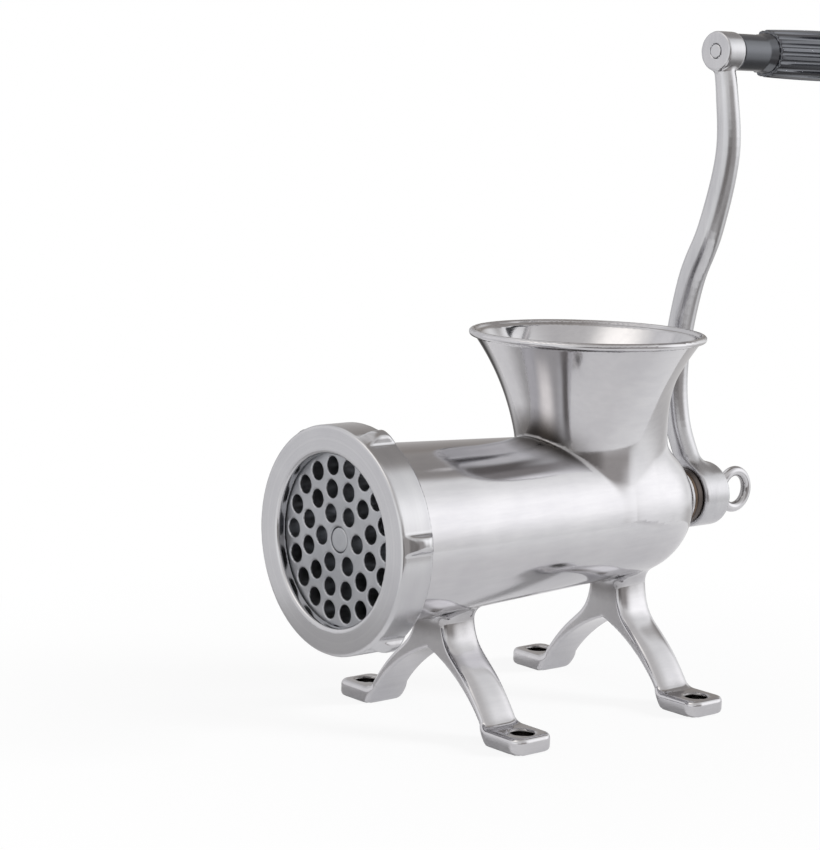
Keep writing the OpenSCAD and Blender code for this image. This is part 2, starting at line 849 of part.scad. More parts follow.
module fluted_sleeve() {
    color("#26282b")
        on_grip(sleeve_y)
            difference() {
                rotate_extrude()
                    intersection() {
                        translate([core_d / 2, 0])
                            square([sleeve_d, sleeve_len]);
                        translate([sleeve_d / 2 + sleeve_swell - swell_r, sleeve_len / 2])
                            circle(r = swell_r, $fn = swell_sides);
                    }
                for (k = [0:flute_count - 1])
                    rotate([0, 0, k * 360 / flute_count])
                        translate([sleeve_d / 2 - flute_depth + flute_d / 2, 0, -bite])
                            cylinder(d = flute_d, h = sleeve_len + 2 * bite);
            }
}

module end_washer() {
    color("silver")
        on_grip(end_washer_y)
            collar(end_washer_d / 2, spindle_d / 2, end_washer_t);
}

barrel();
hopper();
front_legs();
rear_legs();
plate_key();
rear_bush();
thrust_washer();
shaft_washer();
ring_nut();
hole_plate();
cutter_knife();
knife_stud();
feed_screw();
crank_arm();
crank_washer();
eye_screw();
grip_spindle();
grip_core();
fluted_sleeve();
end_washer();
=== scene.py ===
"""Manual meat grinder: body casting, outlet ring, cutting set, crank, eye screw and fluted grip.

Sizes are in millimetres unless a name or comment says otherwise. The barrel's axis runs along Y,
the outlet is at -Y, +Z is up, and the feet stand on z = 0.
"""

import itertools
import logging
import math
from dataclasses import dataclass, field, replace
from enum import Enum
from typing import Callable, Sequence

import bmesh
import bpy
import numpy as np
from mathutils import Matrix, Vector


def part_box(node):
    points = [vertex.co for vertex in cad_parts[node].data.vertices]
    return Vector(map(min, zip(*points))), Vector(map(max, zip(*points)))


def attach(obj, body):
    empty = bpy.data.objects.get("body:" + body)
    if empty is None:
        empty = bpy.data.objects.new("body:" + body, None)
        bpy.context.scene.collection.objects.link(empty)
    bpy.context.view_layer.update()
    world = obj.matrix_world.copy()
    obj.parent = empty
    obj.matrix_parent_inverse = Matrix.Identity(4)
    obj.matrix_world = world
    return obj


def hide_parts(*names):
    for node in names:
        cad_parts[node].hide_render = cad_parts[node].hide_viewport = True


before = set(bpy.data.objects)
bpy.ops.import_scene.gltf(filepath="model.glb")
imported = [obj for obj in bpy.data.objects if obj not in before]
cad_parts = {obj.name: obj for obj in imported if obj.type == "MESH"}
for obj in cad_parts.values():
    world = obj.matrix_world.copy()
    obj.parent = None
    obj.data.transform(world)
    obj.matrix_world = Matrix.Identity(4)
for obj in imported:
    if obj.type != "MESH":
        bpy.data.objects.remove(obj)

log = logging.getLogger("grinder")

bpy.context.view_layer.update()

Array = np.ndarray
Field = Callable[[Array], Array]
Socket = bpy.types.NodeSocket
Colour = tuple[float, float, float]
Span = tuple[float, float]
Triple = tuple[float, float, float]
Outline = Sequence[Span]

MM = 0.001
AXIS_H = 90.8
MARGIN = 0.5  # room around a form that is moulded
FIT = 0.05  # radial clearance of the riveted spindle's fits
WHITE = (1.0, 1.0, 1.0, 1.0)
CELL_CORNERS = np.array(list(itertools.product((0, 1), repeat=3)))


class Slot(Enum):
    """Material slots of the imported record."""

    POLISHED = "polished_steel"
    SATIN = "satin_steel"
    TOOL = "tool_steel"
    BRONZE = "bronze"
    FIBRE = "fibre"
    PLASTIC = "black_plastic"


class Grain(Enum):
    """How a metal face was finished."""

    BUFFED = "buffed by hand"
    TURNED = "turned in a lathe"
    DRAWN = "drawn along its length"


# Distance fields


def smooth_union(a: Array, b: Array, blend: float | Array) -> Array:
    """Joins two fields with a fillet.

    Args:
        a: Distances to the first form.
        b: Distances to the second form.
        blend: Width of the blend.

    Returns:
        Distances to the joined form.
    """
    share = np.maximum(blend - np.abs(a - b), 0.0) / blend
    return np.minimum(a, b) - share * share * blend * 0.25


def smooth_common(a: Array, b: Array, blend: float) -> Array:
    """Keeps what two fields share, with its new edge rounded over the blend's width."""
    return -smooth_union(-a, -b, blend)


def smooth_cut(a: Array, tool: Array, blend: float) -> Array:
    """Cuts a tool's form out of another, with the new edge rounded over the blend's width."""
    return -smooth_union(-a, tool, blend)


def rounded_disc(rho: Array, along: Array, radius: float, span: Span, ease: float) -> Array:
    """Gives the field of a cylinder with eased rims.

    Args:
        rho: Distance of each point from the axis.
        along: Place of each point along the axis.
        radius: Radius of the cylinder.
        span: Where it starts and ends along the axis.
        ease: Radius of the rims.

    Returns:
        Signed distances to the cylinder.
    """
    low, high = span
    out = rho - radius + ease
    end = np.abs(along - 0.5 * (low + high)) - 0.5 * (high - low) + ease
    corner = np.hypot(np.maximum(out, 0.0), np.maximum(end, 0.0))
    return np.minimum(np.maximum(out, end), 0.0) + corner - ease


def square_bar(across: Array, up: Array, width: float) -> Array:
    """Gives the field of a square bar along the axis that its two coordinates are taken from."""
    return np.maximum(np.abs(across), np.abs(up)) - 0.5 * width


def around_axis(points: Array) -> tuple[Array, Array, Array]:
    """Splits points into their radius, angle and station about the barrel's axis.

    Args:
        points: Points, one per row.

    Returns:
        Radius, angle from +X towards +Z, and Y.
    """
    rise = points[:, 2] - AXIS_H
    return np.hypot(points[:, 0], rise), np.arctan2(rise, points[:, 0]), points[:, 1]


def leaning(points: Array, degrees: float) -> tuple[Array, Array]:
    """Places points across and up from the barrel's axis, in a frame that leans towards +X.

    Args:
        points: Points, one per row.
        degrees: How far the frame leans.

    Returns:
        Place across and place up.
    """
    tilt = math.radians(degrees)
    x, z = points[:, 0], points[:, 2] - AXIS_H
    across = x * math.cos(tilt) - z * math.sin(tilt)
    return across, x * math.sin(tilt) + z * math.cos(tilt)


def fold_angle(angle: Array, count: int, start: float = 0.0) -> Array:
    """Folds angles into one repeat of a ring of features, measured from the nearest feature."""
    step = math.tau / count
    return (angle - start + 0.5 * step) % step - 0.5 * step


# Meshes


@dataclass
class Shell:
    """A closed surface: its points, its quads and the outward normal at each point."""

    points: Array
    quads: Array
    normals: Array


@dataclass(frozen=True)
class Moulder:
    """Draws the surface where a distance field is zero."""

    cell: float
    block: int = 12
    settle: int = 3
    reach: float = 1.35
    probe: float = 0.02
    border: float = 1.5  # in cells

    def sample(self, form: Field, low: Array, counts: tuple[int, int, int]) -> Array:
        """Samples a field on a grid, in full only in the blocks that the surface can cross.

        Args:
            form: The distance field.
            low: Lowest corner of the grid.
            counts: Grid points along each axis.

        Returns:
            The field's values on the grid.
        """
        values = np.empty(counts, np.float32)
        corners = np.array(list(itertools.product(*(range(0, n, self.block) for n in counts))))
        middles = low + self.cell * (corners + 0.5 * (self.block - 1))
        centres = form(middles)
        radius = self.reach * 0.5 * math.sqrt(3.0) * self.cell * self.block
        for corner, centre in zip(corners, centres):
            spans = [np.arange(c, min(c + self.block, n)) for c, n in zip(corner, counts)]
            spot = tuple(slice(s[0], s[-1] + 1) for s in spans)
            if abs(centre) > radius:
                values[spot] = centre
                continue
            mesh = np.stack(np.meshgrid(*spans, indexing="ij"), axis=-1)
            values[spot] = form(low + self.cell * mesh.reshape(-1, 3)).reshape(mesh.shape[:3])
        return values

    def slope(self, form: Field, points: Array) -> Array:
        """Finds the unit gradient of a field.

        Args:
            form: The distance field.
            points: Where to find it.

        Returns:
            One unit vector per point.
        """
        total = np.zeros_like(points)
        for way in ((1, -1, -1), (-1, -1, 1), (-1, 1, -1), (1, 1, 1)):
            step = np.array(way, float)
            total += step * form(points + self.probe * step)[:, None]
        return total / np.maximum(np.linalg.norm(total, axis=1, keepdims=True), 1e-9)

    def mould(self, form: Field, low: Sequence[float], high: Sequence[float]) -> Shell:
        """Draws a field's surface inside a box.

        Args:
            form: The distance field.
            low: Lowest corner of the box.
            high: Highest corner of the box.

        Returns:
            The surface as a closed shell.
        """
        start = np.array(low, float) - self.border * self.cell
        spare = round(2 * self.border)
        counts = tuple(int(n) for n in np.ceil((np.array(high) - start) / self.cell) + spare)
        values = self.sample(form, start, counts)
        inside = values < 0.0
        cells, number = self.crossed(inside)
        points = start + self.cell * (cells + self.balance(values, cells))
        for _ in range(self.settle):
            points -= self.slope(form, points) * form(points)[:, None]
        return Shell(points, self.faces(inside, number), self.slope(form, points))

    @staticmethod
    def crossed(inside: Array) -> tuple[Array, Array]:
        """Finds the cells that the surface crosses.

        Args:
            inside: Which grid points lie inside the form.

        Returns:
            The crossed cells, and the number of each of them on the grid of cells.
        """
        size = tuple(n - 1 for n in inside.shape)
        total = np.zeros(size, np.uint8)
        for x, y, z in CELL_CORNERS:
            total += inside[x:x + size[0], y:y + size[1], z:z + size[2]]
        active = (total > 0) & (total < len(CELL_CORNERS))
        cells = np.argwhere(active)
        number = np.full(size, -1, np.int64)
        number[active] = np.arange(len(cells))
        return cells, number

    @staticmethod
    def balance(values: Array, cells: Array) -> Array:
        """Finds the middle of the points where the surface crosses each cell's edges.

        Args:
            values: The field's values on the grid.
            cells: The crossed cells.

        Returns:
            A place inside each cell, in cells.
        """
        at = [values[tuple((cells + corner).T)].astype(float) for corner in CELL_CORNERS]
        place = np.zeros((len(cells), 3))
        hits = np.zeros((len(cells), 1))
        for a, b in itertools.combinations(range(len(CELL_CORNERS)), 2):
            run = CELL_CORNERS[b] - CELL_CORNERS[a]
            if np.abs(run).sum() != 1:
                continue
            cross = (at[a] < 0.0) != (at[b] < 0.0)
            share = np.where(cross, at[a] / np.where(cross, at[a] - at[b], 1.0), 0.0)
            place += cross[:, None] * (CELL_CORNERS[a] + share[:, None] * run)
            hits += cross[:, None]
        return place / hits

    @staticmethod
    def faces(inside: Array, number: Array) -> Array:
        """Joins the cells around each crossed grid edge into quads that face outwards.

        Args:
            inside: Which grid points lie inside the form.
            number: Point number of each crossed cell.

        Returns:
            The quads, as rows of point numbers.
        """
        rows = []
        for axis in range(3):
            u, v = (axis + 1) % 3, (axis + 2) % 3
            lower = np.take(inside, range(inside.shape[axis] - 1), axis=axis)
            upper = np.take(inside, range(1, inside.shape[axis]), axis=axis)
            edges = np.argwhere(lower != upper)
            edges = edges[(edges[:, u] > 0) & (edges[:, v] > 0)]
            edges = edges[(edges[:, u] < number.shape[u]) & (edges[:, v] < number.shape[v])]
            across, along = np.eye(3, dtype=int)[u], np.eye(3, dtype=int)[v]
            ring = [edges - across - along, edges - along, edges, edges - across]
            quad = np.stack([number[tuple(c.T)] for c in ring], axis=1)
            outward = lower[tuple(edges.T)]
            rows.append(np.where(outward[:, None], quad, quad[:, ::-1]))
        return np.concatenate(rows)


def axis_box(radius: float, span: Span) -> tuple[Triple, Triple]:
    """Gives a box with some room around a form on the barrel's axis.

    Args:
        radius: Radius over the form.
        span: Where it starts and ends along the axis.

    Returns:
        The box's lowest and highest corners.
    """
    reach = radius + MARGIN
    low = (-reach, span[0] - MARGIN, AXIS_H - reach)
    return low, (reach, span[1] + MARGIN, AXIS_H + reach)


def link(made: bpy.types.Object) -> bpy.types.Object:
    """Links an object into the scene and hands it back."""
    bpy.context.scene.collection.objects.link(made)
    return made


def shell_object(name: str, shell: Shell) -> bpy.types.Object:
    """Makes an object from a shell, shaded with the shell's own normals.

    Args:
        name: Name of the piece.
        shell: Its surface.

    Returns:
        The new object, linked into the scene.
    """
    mesh = bpy.data.meshes.new(name)
    mesh.vertices.add(len(shell.points))
    mesh.vertices.foreach_set("co", (shell.points * MM).astype(np.float32).ravel())
    mesh.loops.add(shell.quads.size)
    mesh.loops.foreach_set("vertex_index", shell.quads.astype(np.int32).ravel())
    mesh.polygons.add(len(shell.quads))
    mesh.polygons.foreach_set("loop_start", np.arange(0, shell.quads.size, 4, dtype=np.int32))
    mesh.polygons.foreach_set("use_smooth", np.ones(len(shell.quads), bool))
    mesh.update(calc_edges=True)
    mesh.validate()
    mesh.normals_split_custom_set_from_vertices(shell.normals.astype(np.float32))
    return link(bpy.data.objects.new(name, mesh))


def washer_outline(radii: Span, span: Span) -> list[Span]:
    """Gives the outline of a flat washer, or of a disc where the inner radius is zero."""
    (inner, outer), (low, high) = radii, span
    return [(inner, low), (outer, low), (outer, high), (inner, high)]


@dataclass(frozen=True)
class Turner:
    """Turns an outline, or a stack of shaped rings, about an axis along Y."""

    axis_x: float = 0.0
    axis_z: float = AXIS_H
    sides: int = 96
    arc: int = 4
    most_cut: float = 0.45  # share of an outline's side that one corner may take
    crease: float = 32.0  # in degrees
    thread_steps: int = 8
    thread_depth: float = 0.55  # share of the pitch
    thread_flank: Span = (1.25, 0.1)  # steepness, and width of the crest
    thread_blank: float = 0.6  # share of the depth, where the thread runs out

    def eased(self, outline: Outline, ease: float) -> list[Span]:
        """Rounds the corners of a closed outline.

        Args:
            outline: Corners as radius and station.
            ease: Distance that each corner is rounded over.

        Returns:
            The outline with an arc in place of each corner off the axis.
        """
        corners = [Vector(c) for c in outline]
        made: list[Span] = []
        for k, corner in enumerate(corners):
            before, after = corners[k - 1] - corner, corners[(k + 1) % len(corners)] - corner
            if corner.x < 1e-6:
                made.append(tuple(corner))
                continue
            cut = min(ease, self.most_cut * before.length, self.most_cut * after.length)
            start = corner + before.normalized() * cut
            end = corner + after.normalized() * cut
            for s in range(self.arc + 1):
                t = s / self.arc
                spot = start * (1 - t) ** 2 + corner * (2 * t * (1 - t)) + end * t * t
                made.append(tuple(spot))
        return made

    def turn(self, name: str, outline: Outline, ease: float) -> bpy.types.Object:
        """Turns a closed outline into a piece.

        Args:
            name: Name of the piece.
            outline: Corners as radius and station, going round the section once.
            ease: Distance that each corner is rounded over.

        Returns:
            The turned object.
        """
        angles = np.linspace(0.0, math.tau, self.sides, endpoint=False)
        level = np.ones(self.sides)
        rings = [(r * level, y * level) for r, y in self.eased(outline, ease)]
        return self.stack(name, angles, rings)

    def stack(self, name: str, angles: Array,
              rings: Sequence[tuple[Array, Array]]) -> bpy.types.Object:
        """Joins rings of points into a closed piece.

        Args:
            name: Name of the piece.
            angles: Angle of each point of a ring, from +X towards +Z.
            rings: Radius and station of each point, ring by ring round the section.

        Returns:
            The object.
        """
        mesh = bmesh.new()
        grid = []
        for radii, stations in rings:
            xs = self.axis_x + radii * np.cos(angles)
            zs = self.axis_z + radii * np.sin(angles)
            spots = np.stack([xs, stations, zs], axis=1) * MM
            grid.append([mesh.verts.new(spot) for spot in spots])
        count = len(angles)
        for k, ring in enumerate(grid):
            after = grid[(k + 1) % len(grid)]
            for s in range(count):
                t = (s + 1) % count
                mesh.faces.new((ring[s], ring[t], after[t], after[s]))
        bmesh.ops.remove_doubles(mesh, verts=mesh.verts, dist=1e-7)
        bmesh.ops.dissolve_degenerate(mesh, edges=mesh.edges, dist=1e-8)
        bmesh.ops.recalc_face_normals(mesh, faces=mesh.faces)
        data = bpy.data.meshes.new(name)
        mesh.to_mesh(data)
        mesh.free()
        data.polygons.foreach_set("use_smooth", np.ones(len(data.polygons), bool))
        data.set_sharp_from_angle(angle=math.radians(self.crease))
        made = link(bpy.data.objects.new(name, data))
        made.modifiers.new("faces", "WEIGHTED_NORMAL").keep_sharp = True
        return made

    def thread(self, name: str, radii: Span, span: Span, pitch: float) -> bpy.types.Object:
        """Cuts a right-hand thread on a sleeve or, where the inner radius is zero, on a bar.

        Args:
            name: Name of the piece.
            radii: Radius of the hole inside it, and radius over the thread.
            span: Where the thread starts and ends along the axis.
            pitch: Distance between turns.

        Returns:
            The threaded object.
        """
        (inner, crest), (low, high) = radii, span
        depth = self.thread_depth * pitch
        angles = np.linspace(0.0, math.tau, self.sides, endpoint=False)
        level = np.ones(self.sides)
        rings = [(inner * level, low * level)]
        steep, flat = self.thread_flank
        count = max(2, round((high - low) / pitch * self.thread_steps))
        for y in np.linspace(low, high, count + 1):
            wave = np.abs(((y / pitch + angles / math.tau) % 1.0) * 2.0 - 1.0)
            fade = min(1.0, (y - low) / pitch * 2.0, (high - y) / pitch * 2.0)
            sunk = np.clip(steep * wave - flat, 0.0, 1.0) * fade + self.thread_blank * (1.0 - fade)
            rings.append((crest - depth * sunk, y * level))
        rings.append((inner * level, high * level))
        return self.stack(name, angles, rings)


# Finishes


@dataclass(frozen=True)
class Speckle:
    """A noise pattern: its scale per metre, its detail and its roughness."""

    scale: float
    detail: float
    rough: float = 0.5


class NodeBench:
    """A node tree, with short ways to add and join its nodes."""

    def __init__(self, tree: bpy.types.NodeTree) -> None:
        """Starts on an empty tree."""
        self.tree = tree
        tree.nodes.clear()

    def feed(self, socket: Socket, value: object) -> None:
        """Links a socket to an input, or sets a plain value on it.

        Args:
            socket: The input.
            value: A socket to link to it, or a plain value.
        """
        if isinstance(value, bpy.types.NodeSocket):
            self.tree.links.new(value, socket)
        else:
            socket.default_value = value

    def node(self, kind: str, inputs: dict | None = None, **options: object) -> bpy.types.Node:
        """Adds a node.

        Args:
            kind: Node type, without its ShaderNode prefix.
            inputs: Values or sockets by input name or number.
            **options: Settings of the node itself.

        Returns:
            The new node.
        """
        made = self.tree.nodes.new("ShaderNode" + kind)
        for key, value in options.items():
            setattr(made, key, value)
        for key, value in (inputs or {}).items():
            self.feed(made.inputs[key], value)
        return made

    def math(self, operation: str, *values: object) -> Socket:
        """Adds a Math node and returns its result."""
        return self.node("Math", dict(enumerate(values)), operation=operation).outputs[0]

    def vector(self, operation: str, *values: object) -> bpy.types.Node:
        """Adds a Vector Math node and returns it."""
        return self.node("VectorMath", dict(enumerate(values)), operation=operation)

    def dot(self, a: object, b: object) -> Socket:
        """Adds a dot product and returns its value."""
        return self.vector("DOT_PRODUCT", a, b).outputs["Value"]

    def noise(self, place: Socket, speckle: Speckle) -> Socket:
        """Adds a noise texture and returns its value.

        Args:
            place: Coordinates, in metres.
            speckle: The pattern.

        Returns:
            The noise's value.
        """
        inputs = {"Vector": place, "Scale": speckle.scale, "Detail": speckle.detail,
                  "Roughness": speckle.rough}
        return self.node("TexNoise", inputs).outputs["Fac"]

    def spread(self, value: Socket, to: Span, start: Span = (0.3, 0.7)) -> Socket:
        """Maps a value from one span to another, and holds it at the ends.

        Args:
            value: The value.
            to: The new span.
            start: The span that it comes from.

        Returns:
            The mapped value.
        """
        inputs = {"Value": value, "From Min": start[0], "From Max": start[1],
                  "To Min": to[0], "To Max": to[1]}
        return self.node("MapRange", inputs).outputs[0]

    def mix(self, factor: Socket, a: object, b: object) -> Socket:
        """Mixes two colours.

        Args:
            factor: Share of the second colour.
            a: The first colour.
            b: The second colour.

        Returns:
            The mixed colour.
        """
        made = self.node("Mix", data_type="RGBA")
        for key, value in ((0, factor), (6, a), (7, b)):
            self.feed(made.inputs[key], value)
        return made.outputs[2]

    def bump(self, height: Socket, distance: float, strength: float,
             below: Socket | None = None) -> Socket:
        """Adds a bump.

        Args:
            height: Height of the bump, from 0 to 1.
            distance: What a height of 1 stands for, in metres.
            strength: How much of it shows.
            below: Normal of a bump under this one.

        Returns:
            The new normal.
        """
        inputs = {"Height": height, "Distance": distance, "Strength": strength}
        if below is not None:
            inputs["Normal"] = below
        return self.node("Bump", inputs).outputs["Normal"]


def rgba(colour: Colour, level: float = 1.0) -> tuple[float, float, float, float]:
    """Gives a colour with its alpha, at a level."""
    return (*(level * c for c in colour), 1.0)


def new_material(name: str) -> tuple[bpy.types.Material, NodeBench]:
    """Makes a material with an empty node tree.

    Args:
        name: Name of the material.

    Returns:
        The material and its node tree.
    """
    made = bpy.data.materials.new(name)
    made.use_nodes = True
    return made, NodeBench(made.node_tree)


@dataclass(frozen=True)
class MetalFinish:
    """A bare metal: its colour, its gloss and the marks of how it was finished.

    Where it has a colour for corners, ambient occlusion darkens its corners towards that colour:
    painted shade, which stands partly for metal that the buffing wheel couldn't reach.
    """

    name: str
    light: Colour
    dark: Colour
    gloss: Span
    grain: Grain
    marks: float
    waves: float
    axis: Span = (0.0, AXIS_H)
    # colour of the painted shade that ambient occlusion lays in corners, partly standing for
    # unbuffed metal
    corners: Colour | None = None
    corner_reach: float = 0.02  # in metres
    corner_span: Span = (0.6, 0.9)
    corner_patch: float = 0.06
    corner_samples: int = 16
    cloud: Speckle = Speckle(38.0, 3.0)
    fine: Speckle = Speckle(1500.0, 4.0, 0.6)
    coarse: Speckle = Speckle(420.0, 3.0, 0.6)
    ripple: Speckle = Speckle(55.0, 1.0)
    tone_shares: Span = (0.6, 0.4)  # of cloud and coarse marks
    tone_span: Span = (0.36, 0.62)
    mark_h: float = 0.0002  # in metres
    wave_h: float = 0.001  # in metres
    turned_drift: float = 0.03
    buffed_scale: Triple = (1.0, 0.12, 1.0)
    drawn_scale: Triple = (1.0, 1.0, 0.06)

    def grain_place(self, bench: NodeBench, place: Socket) -> Socket:
        """Stretches object coordinates along the way the metal was worked.

        Args:
            bench: The node tree.
            place: Object coordinates, in metres.

        Returns:
            Coordinates for the fine marks.
        """
        if self.grain is Grain.TURNED:
            middle = (self.axis[0] * MM, 0.0, self.axis[1] * MM)
            centred = bench.vector("SUBTRACT", place, middle).outputs[0]
            flat = bench.vector("MULTIPLY", centred, (1.0, 0.0, 1.0)).outputs[0]
            ray = bench.vector("LENGTH", flat).outputs["Value"]
            station = bench.node("SeparateXYZ", {0: centred}).outputs[1]
            drift = bench.math("MULTIPLY", ray, self.turned_drift)
            return bench.node("CombineXYZ", {0: ray, 1: station, 2: drift}).outputs[0]
        scale = self.buffed_scale if self.grain is Grain.BUFFED else self.drawn_scale
        return bench.vector("MULTIPLY", place, scale).outputs[0]

    def shade_corners(self, bench: NodeBench, colour: Socket, cloud: Socket) -> Socket:
        """Paints shade into the corners: ambient occlusion darkens them, partly standing for metal
        left unpolished there.

        Args:
            bench: The node tree.
            colour: Colour of the polished metal.
            cloud: Noise that breaks up the painted shade's edge.

        Returns:
            The colour with painted shade in its corners.
        """
        # ambient occlusion sets where shade is painted into the colour
        corner = bench.node("AmbientOcclusion", {"Distance": self.corner_reach},
                            samples=self.corner_samples, only_local=True).outputs["AO"]
        patch = bench.spread(cloud, (-self.corner_patch, self.corner_patch))
        bare = bench.spread(bench.math("ADD", corner, patch), (0.0, 1.0), self.corner_span)
        return bench.mix(bare, rgba(self.corners), colour)

    def material(self) -> bpy.types.Material:
        """Builds the material.

        Returns:
            A material made of nodes only.
        """
        made, bench = new_material(self.name)
        place = bench.node("TexCoord").outputs["Object"]
        marks = self.grain_place(bench, place)
        cloud = bench.noise(place, self.cloud)
        fine = bench.noise(marks, self.fine)
        coarse = bench.noise(marks, self.coarse)
        parts = [bench.math("MULTIPLY", part, share)
                 for part, share in zip((cloud, coarse), self.tone_shares)]
        tone = bench.spread(bench.math("ADD", *parts), (0.0, 1.0), self.tone_span)
        colour = bench.mix(tone, rgba(self.dark), rgba(self.light))
        # painted shade in corners, from ambient occlusion
        if self.corners:
            colour = self.shade_corners(bench, colour, cloud)
        worn = bench.math("MULTIPLY", bench.math("ADD", cloud, fine), 0.5)
        rough = bench.spread(worn, self.gloss[::-1])
        waves = bench.bump(bench.noise(place, self.ripple), self.wave_h, self.waves)
        normal = bench.bump(fine, self.mark_h, self.marks, waves)
        shader = bench.node("BsdfPrincipled", {"Base Color": colour, "Metallic": 1.0,
                                               "Roughness": rough, "Normal": normal})
        bench.node("OutputMaterial", {"Surface": shader.outputs[0]})
        return made


@dataclass(frozen=True)
class MouldedFinish:
    """A moulded or pressed material: its colours, gloss and skin."""

    name: str
    light: Colour
    dark: Colour
    gloss: Span
    skin: Speckle
    skin_depth: float
    specular: float = 0.5
    sheen: Colour = (1.0, 1.0, 1.0)
    ior: float = 1.5
    cloud: Speckle = Speckle(60.0, 4.0)
    skin_h: float = 0.0002  # in metres

    def material(self) -> bpy.types.Material:
        """Builds the material.

        Returns:
            A material made of nodes only.
        """
        made, bench = new_material(self.name)
        place = bench.node("TexCoord").outputs["Object"]
        cloud = bench.noise(place, self.cloud)
        skin = bench.noise(place, self.skin)
        tone = bench.math("MULTIPLY", bench.math("ADD", cloud, skin), 0.5)
        colour = bench.mix(bench.spread(tone, (0.0, 1.0)), rgba(self.dark), rgba(self.light))
        shader = bench.node("BsdfPrincipled", {
            "Base Color": colour,
            "Roughness": bench.spread(tone, self.gloss),
            "Normal": bench.bump(skin, self.skin_h, self.skin_depth),
            "Specular IOR Level": self.specular,
            "Specular Tint": rgba(self.sheen),
            "IOR": self.ior,
        })
        bench.node("OutputMaterial", {"Surface": shader.outputs[0]})
        return made


# the polished finish paints shade into its corners, darkened by ambient occlusion towards the
# corners colour
POLISHED = MetalFinish(
    "hand_polished_steel", light=(0.64, 0.635, 0.65), dark=(0.58, 0.575, 0.595),
    gloss=(0.07, 0.13), grain=Grain.BUFFED, marks=0.018, waves=0.06, corners=(0.16, 0.15, 0.145))
SATIN = MetalFinish(
    "turned_steel", light=(0.62, 0.62, 0.635), dark=(0.55, 0.55, 0.57),
    gloss=(0.14, 0.24), grain=Grain.TURNED, marks=0.05, waves=0.03)
DRAWN = MetalFinish(
    "drawn_steel", light=(0.61, 0.61, 0.625), dark=(0.54, 0.54, 0.56),
    gloss=(0.19, 0.28), grain=Grain.DRAWN, marks=0.04, waves=0.02)
TOOL = MetalFinish(
    "ground_tool_steel", light=(0.46, 0.47, 0.49), dark=(0.36, 0.37, 0.39),
    gloss=(0.26, 0.4), grain=Grain.TURNED, marks=0.2, waves=0.02)
# bronze darkened well below its own colour: painted shade for the dark gap between the barrel's
# dome and the crank hub
BRONZE = MetalFinish(
    "shaded_bronze", light=(0.17, 0.12, 0.085), dark=(0.11, 0.08, 0.06),
    gloss=(0.3, 0.45), grain=Grain.TURNED, marks=0.1, waves=0.02)
# steel painted dark brown: painted shade for the same gap behind the dome
SHADED_STEEL = MetalFinish(
    "shaded_steel", light=(0.15, 0.13, 0.12), dark=(0.1, 0.085, 0.08),
    gloss=(0.3, 0.42), grain=Grain.TURNED, marks=0.1, waves=0.02)
FIBRE = MouldedFinish(
    "pressed_fibre", light=(0.36, 0.19, 0.11), dark=(0.24, 0.11, 0.06),
    gloss=(0.7, 0.85), skin=Speckle(1800.0, 3.0, 0.55), skin_depth=0.4)
PLASTIC = MouldedFinish(
    "satin_black_plastic", light=(0.014, 0.015, 0.018), dark=(0.009, 0.0095, 0.012),
    gloss=(0.15, 0.22), skin=Speckle(2600.0, 3.0, 0.55), skin_depth=0.08,
    specular=1.0, sheen=(0.88, 0.92, 1.0), ior=1.7)


class Workshop:
    """Dresses pieces and puts them on the bodies of the frame."""

    def __init__(self) -> None:
        """Starts with no material made."""
        self.made: dict[str, bpy.types.Material] = {}

    def dress(self, piece: bpy.types.Object, finish: MetalFinish | MouldedFinish, slot: Slot,
              body: str, *nodes: str) -> None:
        """Gives a piece its finish and its body, and hides the CAD nodes that it replaces.

        Args:
            piece: The piece.
            finish: Its finish.
            slot: The record's material slot; not used.
            body: The body that it rides on.
            *nodes: CAD nodes that it replaces.
        """
        if finish.name not in self.made:
            self.made[finish.name] = finish.material()
        piece.data.materials.clear()
        piece.data.materials.append(self.made[finish.name])
        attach(piece, body)
        if nodes:
            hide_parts(*nodes)
        log.info("%s on %s: %d faces", piece.name, body, len(piece.data.polygons))


# Sub-assemblies


